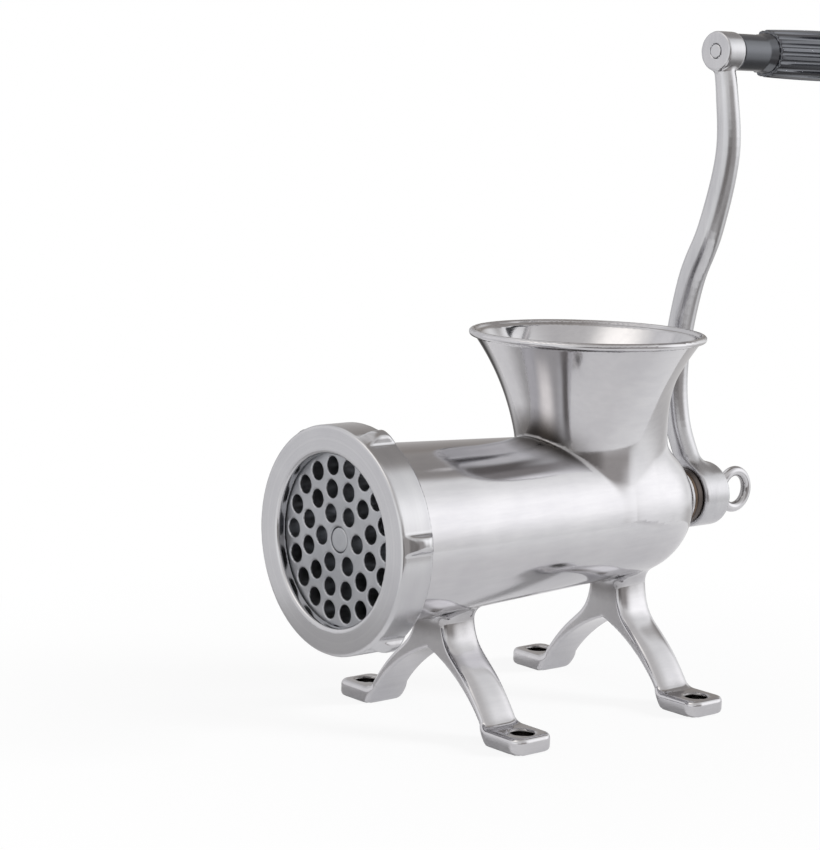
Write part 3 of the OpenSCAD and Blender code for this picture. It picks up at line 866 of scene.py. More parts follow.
@dataclass
class LegPair:
    """Two splayed legs on one arch, each with a bored foot pad."""

    station: float
    neck: Span = (8.3, 64.5)
    knee: Span = (8.3, 27.0)
    haunch: Span = (18.0, 43.0)
    root: Span = (40.2, 8.0)
    steps: int = 80
    width: float = 20.0
    crown: float = 2.5
    top: float = 70.8
    arch_at: Span = (-28.6, -40.85)
    arch_r: float = 82.0
    arch_ease: float = 2.0
    side_ease: float = 1.6
    heel_x: float = 36.0
    toe_x: float = 64.0
    pad_w: float = 22.5
    pad_t: float = 8.0
    corner: float = 6.0
    pad_ease: float = 2.6
    heel_ease: float = 1.0
    pad_fillet: float = 2.5
    sole_ease: float = 0.6
    bolt_x: float = 54.5
    bolt_r: float = 5.25
    bolt_ease: float = 1.2
    edge: Array = field(init=False)

    def __post_init__(self) -> None:
        """Draws the leg's outer edge as x, its slope and z."""
        a, b, c, d = np.array([self.neck, self.knee, self.haunch, self.root])
        t = np.linspace(1.0, 0.0, self.steps)[:, None]
        s = 1.0 - t
        line = s ** 3 * a + 3 * t * s ** 2 * b + 3 * t * t * s * c + t ** 3 * d
        self.edge = np.stack([line[:, 0], np.gradient(line[:, 0], line[:, 1]), line[:, 1]])

    def arch(self, points: Array) -> Array:
        """Gives the field of the side that lies outside the arch."""
        side = np.abs(points[:, 0]) - self.arch_at[0]
        return self.arch_r - np.hypot(side, points[:, 2] - self.arch_at[1])

    def leg(self, points: Array) -> Array:
        """Gives the field of the legs above their pads.

        Args:
            points: Points, one per row.

        Returns:
            Signed distances.
        """
        side, off, z = np.abs(points[:, 0]), points[:, 1] - self.station, points[:, 2]
        x_out, lean = (np.interp(z, self.edge[2], row) for row in self.edge[:2])
        crown = self.crown * (1.0 - (off / (0.5 * self.width)) ** 4)
        outer = (side - x_out - crown) / np.sqrt(1.0 + lean * lean)
        leg = smooth_common(outer, self.arch(points), self.arch_ease)
        leg = smooth_common(leg, np.abs(off) - 0.5 * self.width, self.side_ease)
        return np.maximum(leg, z - self.top)

    def pad(self, points: Array) -> Array:
        """Gives the field of the foot pads.

        Args:
            points: Points, one per row.

        Returns:
            Signed distances.
        """
        side, off, z = np.abs(points[:, 0]), points[:, 1] - self.station, points[:, 2]
        mid, half = 0.5 * (self.heel_x + self.toe_x), 0.5 * (self.toe_x - self.heel_x)
        across = np.abs(side - mid) - half + self.corner
        along = np.abs(off) - 0.5 * self.pad_w + self.corner
        plan = np.minimum(np.maximum(across, along), 0.0) - self.corner
        plan = plan + np.hypot(np.maximum(across, 0.0), np.maximum(along, 0.0))
        flat = np.abs(z - 0.5 * self.pad_t) - 0.5 * self.pad_t
        return smooth_common(smooth_common(plan, flat, self.pad_ease), self.arch(points),
                             self.heel_ease)

    def form(self, points: Array) -> Array:
        """Gives the field of the legs with their bored pads.

        Args:
            points: Points, one per row.

        Returns:
            Signed distances.
        """
        foot = smooth_union(self.leg(points), self.pad(points), self.pad_fillet)
        foot = smooth_common(foot, -points[:, 2], self.sole_ease)
        side, off = np.abs(points[:, 0]), points[:, 1] - self.station
        bolt = np.hypot(side - self.bolt_x, off) - self.bolt_r
        return smooth_cut(foot, bolt, self.bolt_ease)


@dataclass
class Casting:
    """The body in one piece: tapered barrel, flared hopper and both pairs of legs."""

    front_y: float = -105.7
    rear_y: float = 55.0
    front_r: float = 40.7
    rear_r: float = 34.3
    wall: float = 4.0
    front_lap: float = 0.5
    boss_r: float = 15.0
    boss_y: float = 91.5
    boss_ease: float = 1.2
    boss_fillet: float = 7.0
    bore_y: float = 65.0
    bush_r: float = 12.56
    bush_lap: float = 5.0
    head_r: float = 43.6
    head_y: Span = (-116.2, -105.0)
    head_ease: float = 0.8
    head_fillet: float = 1.0
    thread_r: float = 44.7
    thread_pitch: float = 2.5
    thread_ends: Span = (0.4, 0.3)
    thread_lap: float = 1.0
    thread_sides: int = 160
    seat: Span = (41.2, -108.9)
    chamber: Span = (36.5, -98.6)
    hollow_ease: float = 0.8
    hopper_y: float = 28.0
    flare_r: float = 117.6
    flare_at: Span = (148.17, 103.0)
    hopper_wall: float = 3.2
    throat_ease: float = 1.5
    lip_at: Span = (53.95, 173.7)
    lip_r: float = 1.7
    lip_fillet: float = 1.2
    skirt: Triple = (35.2, 30.57, 34.0)
    skirt_fillet: float = 3.0
    saddle: Triple = (29.0, 43.0, 160.0)
    saddle_fillet: float = 7.0
    crease_y: Span = (30.0, 46.0)
    crease_fillet: Span = (1.6, 6.0)
    legs: tuple[LegPair, LegPair] = (LegPair(-55.0), LegPair(55.0))
    leg_fillet: float = 6.0
    box: tuple[Triple, Triple] = ((-66.0, -117.0, -0.5), (66.0, 92.5, 176.5))
    cell: float = 1.2

    def cone_r(self, y: Array) -> Array:
        """Radius of the barrel's outside at each station."""
        share = (y - self.front_y) / (self.rear_y - self.front_y)
        return self.front_r + (self.rear_r - self.front_r) * share

    def from_hopper(self, points: Array) -> Array:
        """Distance of each point from the hopper's upright axis."""
        return np.hypot(points[:, 0], points[:, 1] - self.hopper_y)

    def barrel(self, points: Array) -> Array:
        """Gives the field of the barrel's outside.

        Args:
            points: Points, one per row.

        Returns:
            Signed distances.
        """
        rho, _, y = around_axis(points)
        lean = math.cos(math.atan2(self.front_r - self.rear_r, self.rear_y - self.front_y))
        dome = np.hypot(rho, y - self.rear_y) - self.rear_r
        body = np.where(y < self.rear_y, (rho - self.cone_r(y)) * lean, dome)
        body = np.maximum(body, self.front_y - self.front_lap - y)
        boss = rounded_disc(rho, y, self.boss_r, (self.rear_y, self.boss_y), self.boss_ease)
        head = rounded_disc(rho, y, self.head_r, self.head_y, self.head_ease)
        return smooth_union(smooth_union(body, boss, self.boss_fillet), head, self.head_fillet)

    def horn(self, points: Array, radius: float) -> Array:
        """Gives the field of the hopper's trumpet.

        Args:
            points: Points, one per row.
            radius: Radius of the flare that the trumpet lies inside.

        Returns:
            Signed distances.
        """
        rise = np.maximum(points[:, 2] - self.flare_at[1], 0.0)
        return radius - np.hypot(self.from_hopper(points) - self.flare_at[0], rise)

    def hopper(self, points: Array) -> Array:
        """Gives the field of the hopper's outside.

        Args:
            points: Points, one per row.

        Returns:
            Signed distances.
        """
        z = points[:, 2]
        radius, station, top = self.saddle
        saddle = np.hypot(points[:, 0], points[:, 1] - station) - radius
        saddle = np.maximum(saddle, z - top)
        wide, narrow, rise = self.skirt
        lean = math.atan2(wide - narrow, rise)
        out, up = self.from_hopper(points) - wide, z - AXIS_H
        skirt = out * math.cos(lean) + up * math.sin(lean)
        horn = smooth_union(self.horn(points, self.flare_r), skirt, self.skirt_fillet)
        horn = np.maximum(horn, z - self.lip_at[1])
        return np.maximum(smooth_union(horn, saddle, self.saddle_fillet), AXIS_H - z)

    def hollow(self, points: Array) -> Array:
        """Gives the field of the seat, chamber, bore and throat.

        Args:
            points: Points, one per row.

        Returns:
            Signed distances.
        """
        rho, _, y = around_axis(points)
        bore = np.maximum(rho - self.cone_r(y) + self.wall, y - self.bore_y)
        for radius, end in (self.chamber, self.seat):
            bore = np.minimum(bore, np.maximum(rho - radius, y - end))
        bush = np.maximum(rho - self.bush_r, self.bore_y - self.bush_lap - y)
        throat = self.horn(points, self.flare_r + self.hopper_wall)
        throat = np.maximum(throat, AXIS_H - points[:, 2])
        return smooth_union(np.minimum(bore, bush), throat, self.throat_ease)

    def form(self, points: Array) -> Array:
        """Gives the field of the whole casting.

        Args:
            points: Points, one per row.

        Returns:
            Signed distances.
        """
        fillet = np.interp(points[:, 1], self.crease_y, self.crease_fillet)
        body = smooth_union(self.barrel(points), self.hopper(points), fillet)
        for pair in self.legs:
            body = smooth_union(body, pair.form(points), self.leg_fillet)
        body = smooth_cut(body, self.hollow(points), self.hollow_ease)
        out = self.from_hopper(points) - self.lip_at[0]
        lip = np.hypot(out, points[:, 2] - self.lip_at[1]) - self.lip_r
        return smooth_union(body, lip, self.lip_fillet)

    def build(self, shop: Workshop) -> None:
        """Moulds the casting and cuts the thread of its head.

        Args:
            shop: Dresses the pieces.
        """
        shell = Moulder(self.cell).mould(self.form, *self.box)
        shop.dress(shell_object("body_casting", shell), POLISHED, Slot.POLISHED, "housing",
                   "barrel", "hopper", "front_legs", "rear_legs")
        span = (self.head_y[0] + self.thread_ends[0], self.front_y - self.thread_ends[1])
        thread = Turner(sides=self.thread_sides).thread(
            "head_thread", (self.head_r - self.thread_lap, self.thread_r), span, self.thread_pitch)
        shop.dress(thread, SATIN, Slot.POLISHED, "housing")


@dataclass
class Bearing:
    """What the shaft turns in: a flanged bush, a thrust washer and a shaft washer."""

    bush_r: Span = (10.06, 12.5)
    bush_y: Span = (65.0, 91.5)
    flange_r: float = 14.0
    flange_y: float = 94.0
    thrust_r: Span = (10.3, 16.0)
    thrust_y: Span = (63.0, 65.0)
    washer_r: Span = (10.3, 14.0)
    washer_y: Span = (94.0, 97.6)
    ease: float = 0.5

    def build(self, shop: Workshop) -> None:
        """Turns the bush and the washers.

        Args:
            shop: Dresses the pieces.
        """
        (inner, outer), (low, high) = self.bush_r, self.bush_y
        bush = [(inner, low), (outer, low), (outer, high), (self.flange_r, high),
                (self.flange_r, self.flange_y), (inner, self.flange_y)]
        thrust = washer_outline(self.thrust_r, self.thrust_y)
        washer = washer_outline(self.washer_r, self.washer_y)
        # the bush and the shaft washer carry painted shade for the dark gap behind the dome
        for name, outline, finish, slot, node in (
                ("rear_bush_turned", bush, BRONZE, Slot.BRONZE, "rear_bush"),
                ("thrust_washer_pressed", thrust, FIBRE, Slot.FIBRE, "thrust_washer"),
                ("shaft_washer_turned", washer, SHADED_STEEL, Slot.SATIN, "shaft_washer")):
            piece = Turner().turn(name, outline, self.ease)
            shop.dress(piece, finish, slot, "housing", node)


@dataclass
class OutletRing:
    """The plain ring nut with six grip lugs."""

    face_y: float = -122.5
    length: float = 16.8
    radius: float = 50.5
    opening: float = 38.0
    opening_ease: float = 2.0
    bore: float = 45.0
    bore_ease: float = 0.8
    lip: float = 5.0
    face_ease: float = 1.6
    back_ease: float = 1.2
    lugs: int = 6
    lug_start: float = 7.0
    lug_w: float = 7.5
    lug_h: float = 4.2
    lug_nose: float = 8.0
    lug_tail: float = 4.0
    lug_root: float = 3.0
    lug_fillet: float = 1.6
    lug_ease: float = 1.4
    ridge_ease: float = 1.2
    top_drop: float = 0.3
    top_ease: float = 1.5
    edge: float = 2.0
    cell: float = 0.85

    def lug(self, rho: Array, angle: Array, depth: Array) -> Array:
        """Gives the field of the grip lugs.

        Args:
            rho: Distance of each point from the axis.
            angle: Angle of each point about the axis.
            depth: Place of each point behind the ring's face.

        Returns:
            Signed distances.
        """
        turn = fold_angle(angle, self.lugs, math.radians(self.lug_start))
        out, across = rho * np.cos(turn), rho * np.sin(turn)
        top, half = self.radius + self.lug_h, 0.5 * self.lug_w
        bar = np.hypot(np.maximum(out - top + half, 0.0), across) - half
        bar = smooth_common(bar, out - top + self.top_drop, self.top_ease)
        climb = self.lug_h + self.edge
        ahead = (out - self.radius + self.edge) * self.lug_nose - depth * climb
        ahead = ahead / math.hypot(self.lug_nose, climb)
        behind = (out - self.radius) * self.lug_tail + (depth - self.length) * self.lug_h
        behind = behind / math.hypot(self.lug_tail, self.lug_h)
        ridge = smooth_common(ahead, behind, self.ridge_ease)
        lug = smooth_common(bar, ridge, self.lug_ease)
        return np.maximum(lug, self.radius - self.lug_root - rho)

    def form(self, points: Array) -> Array:
        """Gives the ring's field.

        Args:
            points: Points, one per row.

        Returns:
            Signed distances.
        """
        rho, angle, y = around_axis(points)
        depth = y - self.face_y
        body = smooth_union(rho - self.radius, self.lug(rho, angle, depth), self.lug_fillet)
        body = smooth_common(body, -depth, self.face_ease)
        body = smooth_common(body, depth - self.length, self.back_ease)
        body = smooth_cut(body, rho - self.opening, self.opening_ease)
        bore = np.maximum(rho - self.bore, self.lip - depth)
        return smooth_cut(body, bore, self.bore_ease)

    def build(self, shop: Workshop) -> None:
        """Moulds the ring.

        Args:
            shop: Dresses the piece.
        """
        box = axis_box(self.radius + self.lug_h, (self.face_y, self.face_y + self.length))
        shell = Moulder(self.cell).mould(self.form, *box)
        shop.dress(shell_object("outlet_ring", shell), SATIN, Slot.SATIN, "ring", "ring_nut")


@dataclass
class CuttingSet:
    """Hole plate and its key, four-bladed knife and stud."""

    plate_r: float = 41.0
    plate_y: Span = (-117.2, -109.2)
    plate_cell: float = 0.75
    hole_r: float = 4.0
    hole_ease: float = 0.7
    circles: Triple = (12.4, 22.4, 32.4)
    first_count: int = 6
    centre_r: float = 5.7
    key_r: float = 2.5
    key_at: float = 41.2
    key_gap: float = 0.3
    key_ease: float = 0.4
    key_sides: int = 32
    knife_y: Span = (-108.9, -98.9)
    knife_r: float = 35.5
    knife_cell: float = 0.7
    hub_r: float = 13.0
    hub_fillet: float = 2.5
    blades: int = 4
    blade_w: float = 13.0
    taper: float = 2.0
    land: float = 2.5
    slope: float = 38.0
    back_ease: float = 1.0
    stud_w: float = 11.0
    stud_y: Span = (-116.9, -78.9)
    stud_cell: float = 0.5
    stud_corner: float = 7.4
    stud_ease: float = 0.6
    stud_fillet: float = 0.4
    stud_reach: float = 0.75  # share of the stud's width
    rim_ease: float = 0.8
    drop_fit: float = 0.2

    def plate(self, points: Array) -> Array:
        """Gives the hole plate's field.

        Args:
            points: Points, one per row.

        Returns:
            Signed distances.
        """
        rho, angle, y = around_axis(points)
        disc = rounded_disc(rho, y, self.plate_r, self.plate_y, self.rim_ease)
        holes = rho - self.centre_r
        for k, circle in enumerate(self.circles):
            count = self.first_count * (k + 1)
            turn = fold_angle(angle, count, -k * math.pi / count)
            hole = np.hypot(rho * np.cos(turn) - circle, rho * np.sin(turn)) - self.hole_r
            holes = np.minimum(holes, hole)
        key = np.hypot(points[:, 0], points[:, 2] - AXIS_H + self.key_at)
        key = key - self.key_r - self.key_gap
        return smooth_cut(disc, np.minimum(holes, key), self.hole_ease)

    def knife(self, points: Array) -> Array:
        """Gives the knife's field: a hub and blades with a ground back.

        Args:
            points: Points, one per row.

        Returns:
            Signed distances.
        """
        rho, angle, y = around_axis(points)
        depth, thick = y - self.knife_y[0], self.knife_y[1] - self.knife_y[0]
        turn = fold_angle(angle, self.blades)
        out, ahead = rho * np.cos(turn), rho * np.sin(turn)
        half = 0.5 * self.blade_w - self.taper * np.clip(out / self.knife_r, 0.0, 1.0)
        tilt, heel = math.radians(self.slope), ahead + 0.5 * self.blade_w
        back = (depth - self.land) * math.cos(tilt) - heel * math.sin(tilt)
        back = smooth_common(back, depth - thick, self.back_ease)
        plan = np.maximum(np.abs(ahead) - half, rho - self.knife_r)
        blade = np.maximum(np.maximum(plan, back), -out)
        hub = rounded_disc(rho, y, self.hub_r, self.knife_y, self.rim_ease)
        body = np.maximum(smooth_union(hub, blade, self.hub_fillet), -depth)
        width = self.stud_w + 2.0 * self.drop_fit
        return np.maximum(body, -square_bar(points[:, 0], points[:, 2] - AXIS_H, width))

    def stud(self, points: Array) -> Array:
        """Gives the stud's field: a square between two round ends.

        Args:
            points: Points, one per row.

        Returns:
            Signed distances.
        """
        rho, _, y = around_axis(points)
        low, high = self.knife_y
        ends = np.abs(y - 0.5 * (low + high)) - 0.5 * (high - low)
        square = square_bar(points[:, 0], points[:, 2] - AXIS_H, self.stud_w)
        square = smooth_common(np.maximum(square, ends), rho - self.stud_corner, self.stud_ease)
        bar = rounded_disc(rho, y, 0.5 * self.stud_w, self.stud_y, self.rim_ease)
        return smooth_union(square, bar, self.stud_fillet)

    def build(self, shop: Workshop) -> None:
        """Moulds the plate, the knife and the stud, and turns the key.

        Args:
            shop: Dresses the pieces.
        """
        plate = axis_box(self.plate_r, self.plate_y)
        knife = axis_box(self.knife_r, self.knife_y)
        stud = axis_box(self.stud_reach * self.stud_w, self.stud_y)
        for name, form, box, cell, body, node in (
                ("hole_plate_drilled", self.plate, plate, self.plate_cell, "plate", "hole_plate"),
                ("cutter_knife_ground", self.knife, knife, self.knife_cell, "drive",
                 "cutter_knife"),
                ("knife_stud_turned", self.stud, stud, self.stud_cell, "drive", "knife_stud")):
            shell = Moulder(cell).mould(form, *box)
            shop.dress(shell_object(name, shell), TOOL, Slot.TOOL, body, node)
        low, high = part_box("plate_key")
        outline = washer_outline((0.0, self.key_r), (low[1] / MM, high[1] / MM))
        lathe = Turner(axis_z=AXIS_H - self.key_at, sides=self.key_sides)
        key = lathe.turn("plate_key_turned", outline, self.key_ease)
        shop.dress(key, TOOL, Slot.TOOL, "housing", "plate_key")


@dataclass
class FeedScrew:
    """Left-hand feed screw with its journal and square drive."""

    start_y: float = -98.9
    end_y: float = 62.7
    pitch: float = 40.0
    tip_w: float = 3.4
    tip_ease: float = 1.2
    root_w: float = 8.0
    root_fillet: float = 4.0
    end_ease: float = 0.8
    core: Span = (17.0, 14.0)
    core_ease: float = 1.0
    gap: float = 1.0
    journal_r: float = 10.0
    journal_y: float = 97.9
    journal_lap: float = 5.0
    journal_ease: float = 0.6
    journal_fillet: float = 1.5
    drive_w: float = 13.6
    drive_y: float = 115.4
    drive_lap: float = 4.0
    drive_corner: float = 0.66  # share of the drive's width
    drive_ease: float = 0.8
    drive_fillet: float = 0.5
    stud_hole: Span = (5.6, -78.6)
    screw_hole: Span = (5.1, 103.1)
    hole_ease: float = 0.5
    rest_deg: float = 1.9
    reach: float = 36.5
    cell: float = 1.15
    cell_reach: float = 1.6

    def flighted(self, rho: Array, angle: Array, y: Array, tip_r: Array) -> Array:
        """Gives the field of the core with its flight.

        Args:
            rho: Distance of each point from the axis.
            angle: Angle of each point about the axis.
            y: Station of each point.
            tip_r: Radius over the flight at each point's station.

        Returns:
            Signed distances.
        """
        share = np.clip((y - self.start_y) / (self.end_y - self.start_y), 0.0, 1.0)
        core_r = self.core[0] + (self.core[1] - self.core[0]) * share
        ends = np.maximum(self.start_y - y, y - self.end_y)
        core = smooth_common(rho - core_r, ends, self.core_ease)
        turn = angle - math.tau * (y - self.start_y) / self.pitch
        turn = (turn + math.pi) % math.tau - math.pi
        lead = self.pitch / math.tau
        off = np.abs(turn) * lead * rho / np.hypot(rho, lead)
        lift = np.clip((rho - core_r) / np.maximum(tip_r - core_r, 1.0), 0.0, 1.0)
        flight = off - 0.5 * (self.root_w + (self.tip_w - self.root_w) * lift)
        flight = smooth_common(flight, rho - tip_r, self.tip_ease)
        flight = smooth_common(flight, ends, self.end_ease)
        return smooth_union(core, flight, self.root_fillet)

    def form(self, points: Array, casting: Casting) -> Array:
        """Gives the screw's field.

        Args:
            points: Points, one per row.
            casting: The casting whose bore the flight runs in.

        Returns:
            Signed distances.
        """
        rho, angle, y = around_axis(points)
        body = self.flighted(rho, angle, y, casting.cone_r(y) - casting.wall - self.gap)
        span = (self.end_y - self.journal_lap, self.journal_y)
        journal = rounded_disc(rho, y, self.journal_r, span, self.journal_ease)
        square = square_bar(*leaning(points, self.rest_deg), self.drive_w)
        corner = rho - self.drive_corner * self.drive_w
        ends = np.maximum(self.journal_y - self.drive_lap - y, y - self.drive_y)
        drive = np.maximum(smooth_common(square, corner, self.drive_ease), ends)
        body = smooth_union(body, journal, self.journal_fillet)
        body = smooth_union(body, drive, self.drive_fillet)
        stud = np.maximum(rho - self.stud_hole[0], y - self.stud_hole[1])
        screw = np.maximum(rho - self.screw_hole[0], self.screw_hole[1] - y)
        return smooth_cut(smooth_cut(body, stud, self.hole_ease), screw, self.hole_ease)

    def build(self, shop: Workshop, casting: Casting) -> None:
        """Moulds the screw to run in the casting's bore.

        Args:
            shop: Dresses the piece.
            casting: The casting.
        """
        box = axis_box(self.reach, (self.start_y, self.drive_y))
        moulder = Moulder(self.cell, reach=self.cell_reach)
        shell = moulder.mould(lambda points: self.form(points, casting), *box)
        shop.dress(shell_object("feed_screw_cast", shell), SATIN, Slot.SATIN, "drive",
                   "feed_screw")


@dataclass
class Crank:
    """Swept crank arm between its hub and the grip's boss."""

    length: float = 216.6
    rest_deg: float = 1.9
    hub_r: float = 15.8
    hub_y: Span = (97.9, 115.4)
    hub_ease: float = 1.6
    hub_fillet: float = 5.0
    boss_r: float = 9.5
    boss_y: Span = (98.0, 110.0)
    boss_ease: float = 1.3
    boss_fillet: float = 1.6
    face_ease: float = 0.6
    arm_y: float = 104.0
    arm_lap: float = 6.0
    arm_steps: int = 8
    sweep_low: float = 16.9
    sweep_high: float = 7.4
    bends_low: tuple[Span, ...] = ((-0.76, 0.158), (-1.0, 0.3), (-0.64, 0.48), (0.0, 0.61))
    bends_high: tuple[Span, ...] = ((1.0, 0.775), (0.55, 0.91))
    sizes: Triple = (12.0, 13.2, 9.6)
    hole_w: float = 14.0
    hole_ease: float = 0.5
    spindle_r: float = 3.3
    spindle_ease: float = 0.3
    box: tuple[Triple, Triple] = ((-21.0, 96.5, 73.8), (22.0, 117.0, 318.8))
    cell: float = 0.9
    arm: Array = field(init=False)

    def __post_init__(self) -> None:
        """Draws the arm's centre line as a run of points across and up from the hub."""
        line = [(0.0, self.hub_r - self.arm_lap)]
        for sweep, bends in ((self.sweep_low, self.bends_low), (self.sweep_high, self.bends_high)):
            line += [(a * sweep, b * self.length) for a, b in bends]
        line.append((0.0, self.length - self.boss_r + self.arm_lap))
        knots = np.array([line[0], *line, line[-1]])
        t = np.linspace(0.0, 1.0, self.arm_steps + 1)[:-1, None]
        runs = []
        for a, b, c, d in zip(knots, knots[1:], knots[2:], knots[3:]):
            bend = (2 * a - 5 * b + 4 * c - d) * t ** 2 + (3 * b - a - 3 * c + d) * t ** 3
            runs.append(0.5 * (2 * b + (c - a) * t + bend))
        self.arm = np.concatenate(runs + [knots[-1:]])

    def rod(self, across: Array, off: Array, up: Array) -> Array:
        """Gives the field of the swept round arm.

        Args:
            across: Place of each point across the arm's plane.
            off: Distance of each point from the arm's plane.
            up: Place of each point up from the hub.

        Returns:
            Signed distances.
        """
        best = np.full(len(across), np.inf)
        shares = np.linspace(0.0, 1.0, len(self.arm))
        radii = 0.5 * np.interp(shares, (0.0, 0.5, 1.0), self.sizes)
        for k in range(len(self.arm) - 1):
            start, run = self.arm[k], self.arm[k + 1] - self.arm[k]
            x, z = across - start[0], up - start[1]
            share = np.clip((x * run[0] + z * run[1]) / (run @ run), 0.0, 1.0)
            gap = np.sqrt((x - share * run[0]) ** 2 + (z - share * run[1]) ** 2 + off * off)
            best = np.minimum(best, gap - radii[k] - (radii[k + 1] - radii[k]) * share)
        return best

    def form(self, points: Array) -> Array:
        """Gives the crank's field.

        Args:
            points: Points, one per row.

        Returns:
            Signed distances.
        """
        y = points[:, 1]
        across, up = leaning(points, self.rest_deg)
        hub = rounded_disc(np.hypot(across, up), y, self.hub_r, self.hub_y, self.hub_ease)
        top = np.hypot(across, up - self.length)
        boss = rounded_disc(top, y, self.boss_r, self.boss_y, self.boss_ease)
        rod = self.rod(across, y - self.arm_y, up)
        body = smooth_union(smooth_union(rod, hub, self.hub_fillet), boss, self.boss_fillet)
        body = smooth_common(body, self.hub_y[0] - y, self.face_ease)
        body = smooth_cut(body, square_bar(across, up, self.hole_w), self.hole_ease)
        return smooth_cut(body, top - self.spindle_r - FIT, self.spindle_ease)

    def build(self, shop: Workshop) -> None:
        """Moulds the crank.

        Args:
            shop: Dresses the piece.
        """
        shell = Moulder(self.cell).mould(self.form, *self.box)
        shop.dress(shell_object("crank_swept", shell), DRAWN, Slot.SATIN, "drive", "crank_arm")


@dataclass
class EyeScrew:
    """Eye screw that holds the crank, with its washer."""

    washer_r: Span = (5.3, 11.5)
    washer_y: Span = (115.7, 117.7)
    washer_ease: float = 0.45
    collar_r: float = 7.5
    collar_y: Span = (118.0, 120.2)
    collar_ease: float = 0.7
    collar_fillet: float = 1.2
    neck_r: float = 4.5
    neck_ease: float = 0.5
    neck_fillet: float = 3.0
    eye_y: float = 134.35
    eye_r: float = 9.15
    bar_r: float = 2.5
    thread_r: float = 5.0
    thread_y: float = 103.1
    thread_lap: float = 0.4
    thread_sides: int = 48
    pitch: float = 1.5
    cell: float = 0.5

    def form(self, points: Array) -> Array:
        """Gives the field of the eye, its neck and its collar.

        Args:
            points: Points, one per row.

        Returns:
            Signed distances.
        """
        rho, _, y = around_axis(points)
        ring = np.hypot(y - self.eye_y, points[:, 2] - AXIS_H) - self.eye_r
        loop = np.hypot(ring, points[:, 0]) - self.bar_r
        span = (self.collar_y[0], self.eye_y - self.eye_r)
        neck = rounded_disc(rho, y, self.neck_r, span, self.neck_ease)
        collar = rounded_disc(rho, y, self.collar_r, self.collar_y, self.collar_ease)
        return smooth_union(smooth_union(loop, neck, self.neck_fillet), collar, self.collar_fillet)

    def build(self, shop: Workshop) -> None:
        """Moulds the eye, cuts its thread and turns the washer.

        Args:
            shop: Dresses the pieces.
        """
        reach, side = self.eye_r + self.bar_r + MARGIN, self.collar_r + MARGIN
        low = (-side, self.collar_y[0] - MARGIN, AXIS_H - reach)
        high = (side, self.eye_y + reach, AXIS_H + reach)
        shell = Moulder(self.cell).mould(self.form, low, high)
        shop.dress(shell_object("eye_forged", shell), POLISHED, Slot.POLISHED, "eye", "eye_screw")
        span = (self.thread_y, self.collar_y[0] + self.thread_lap)
        lathe = Turner(sides=self.thread_sides)
        thread = lathe.thread("eye_thread", (0.0, self.thread_r), span, self.pitch)
        shop.dress(thread, SATIN, Slot.POLISHED, "eye")
        outline = washer_outline(self.washer_r, self.washer_y)
        washer = Turner().turn("crank_washer_pressed", outline, self.washer_ease)
        shop.dress(washer, SATIN, Slot.SATIN, "washer", "crank_washer")


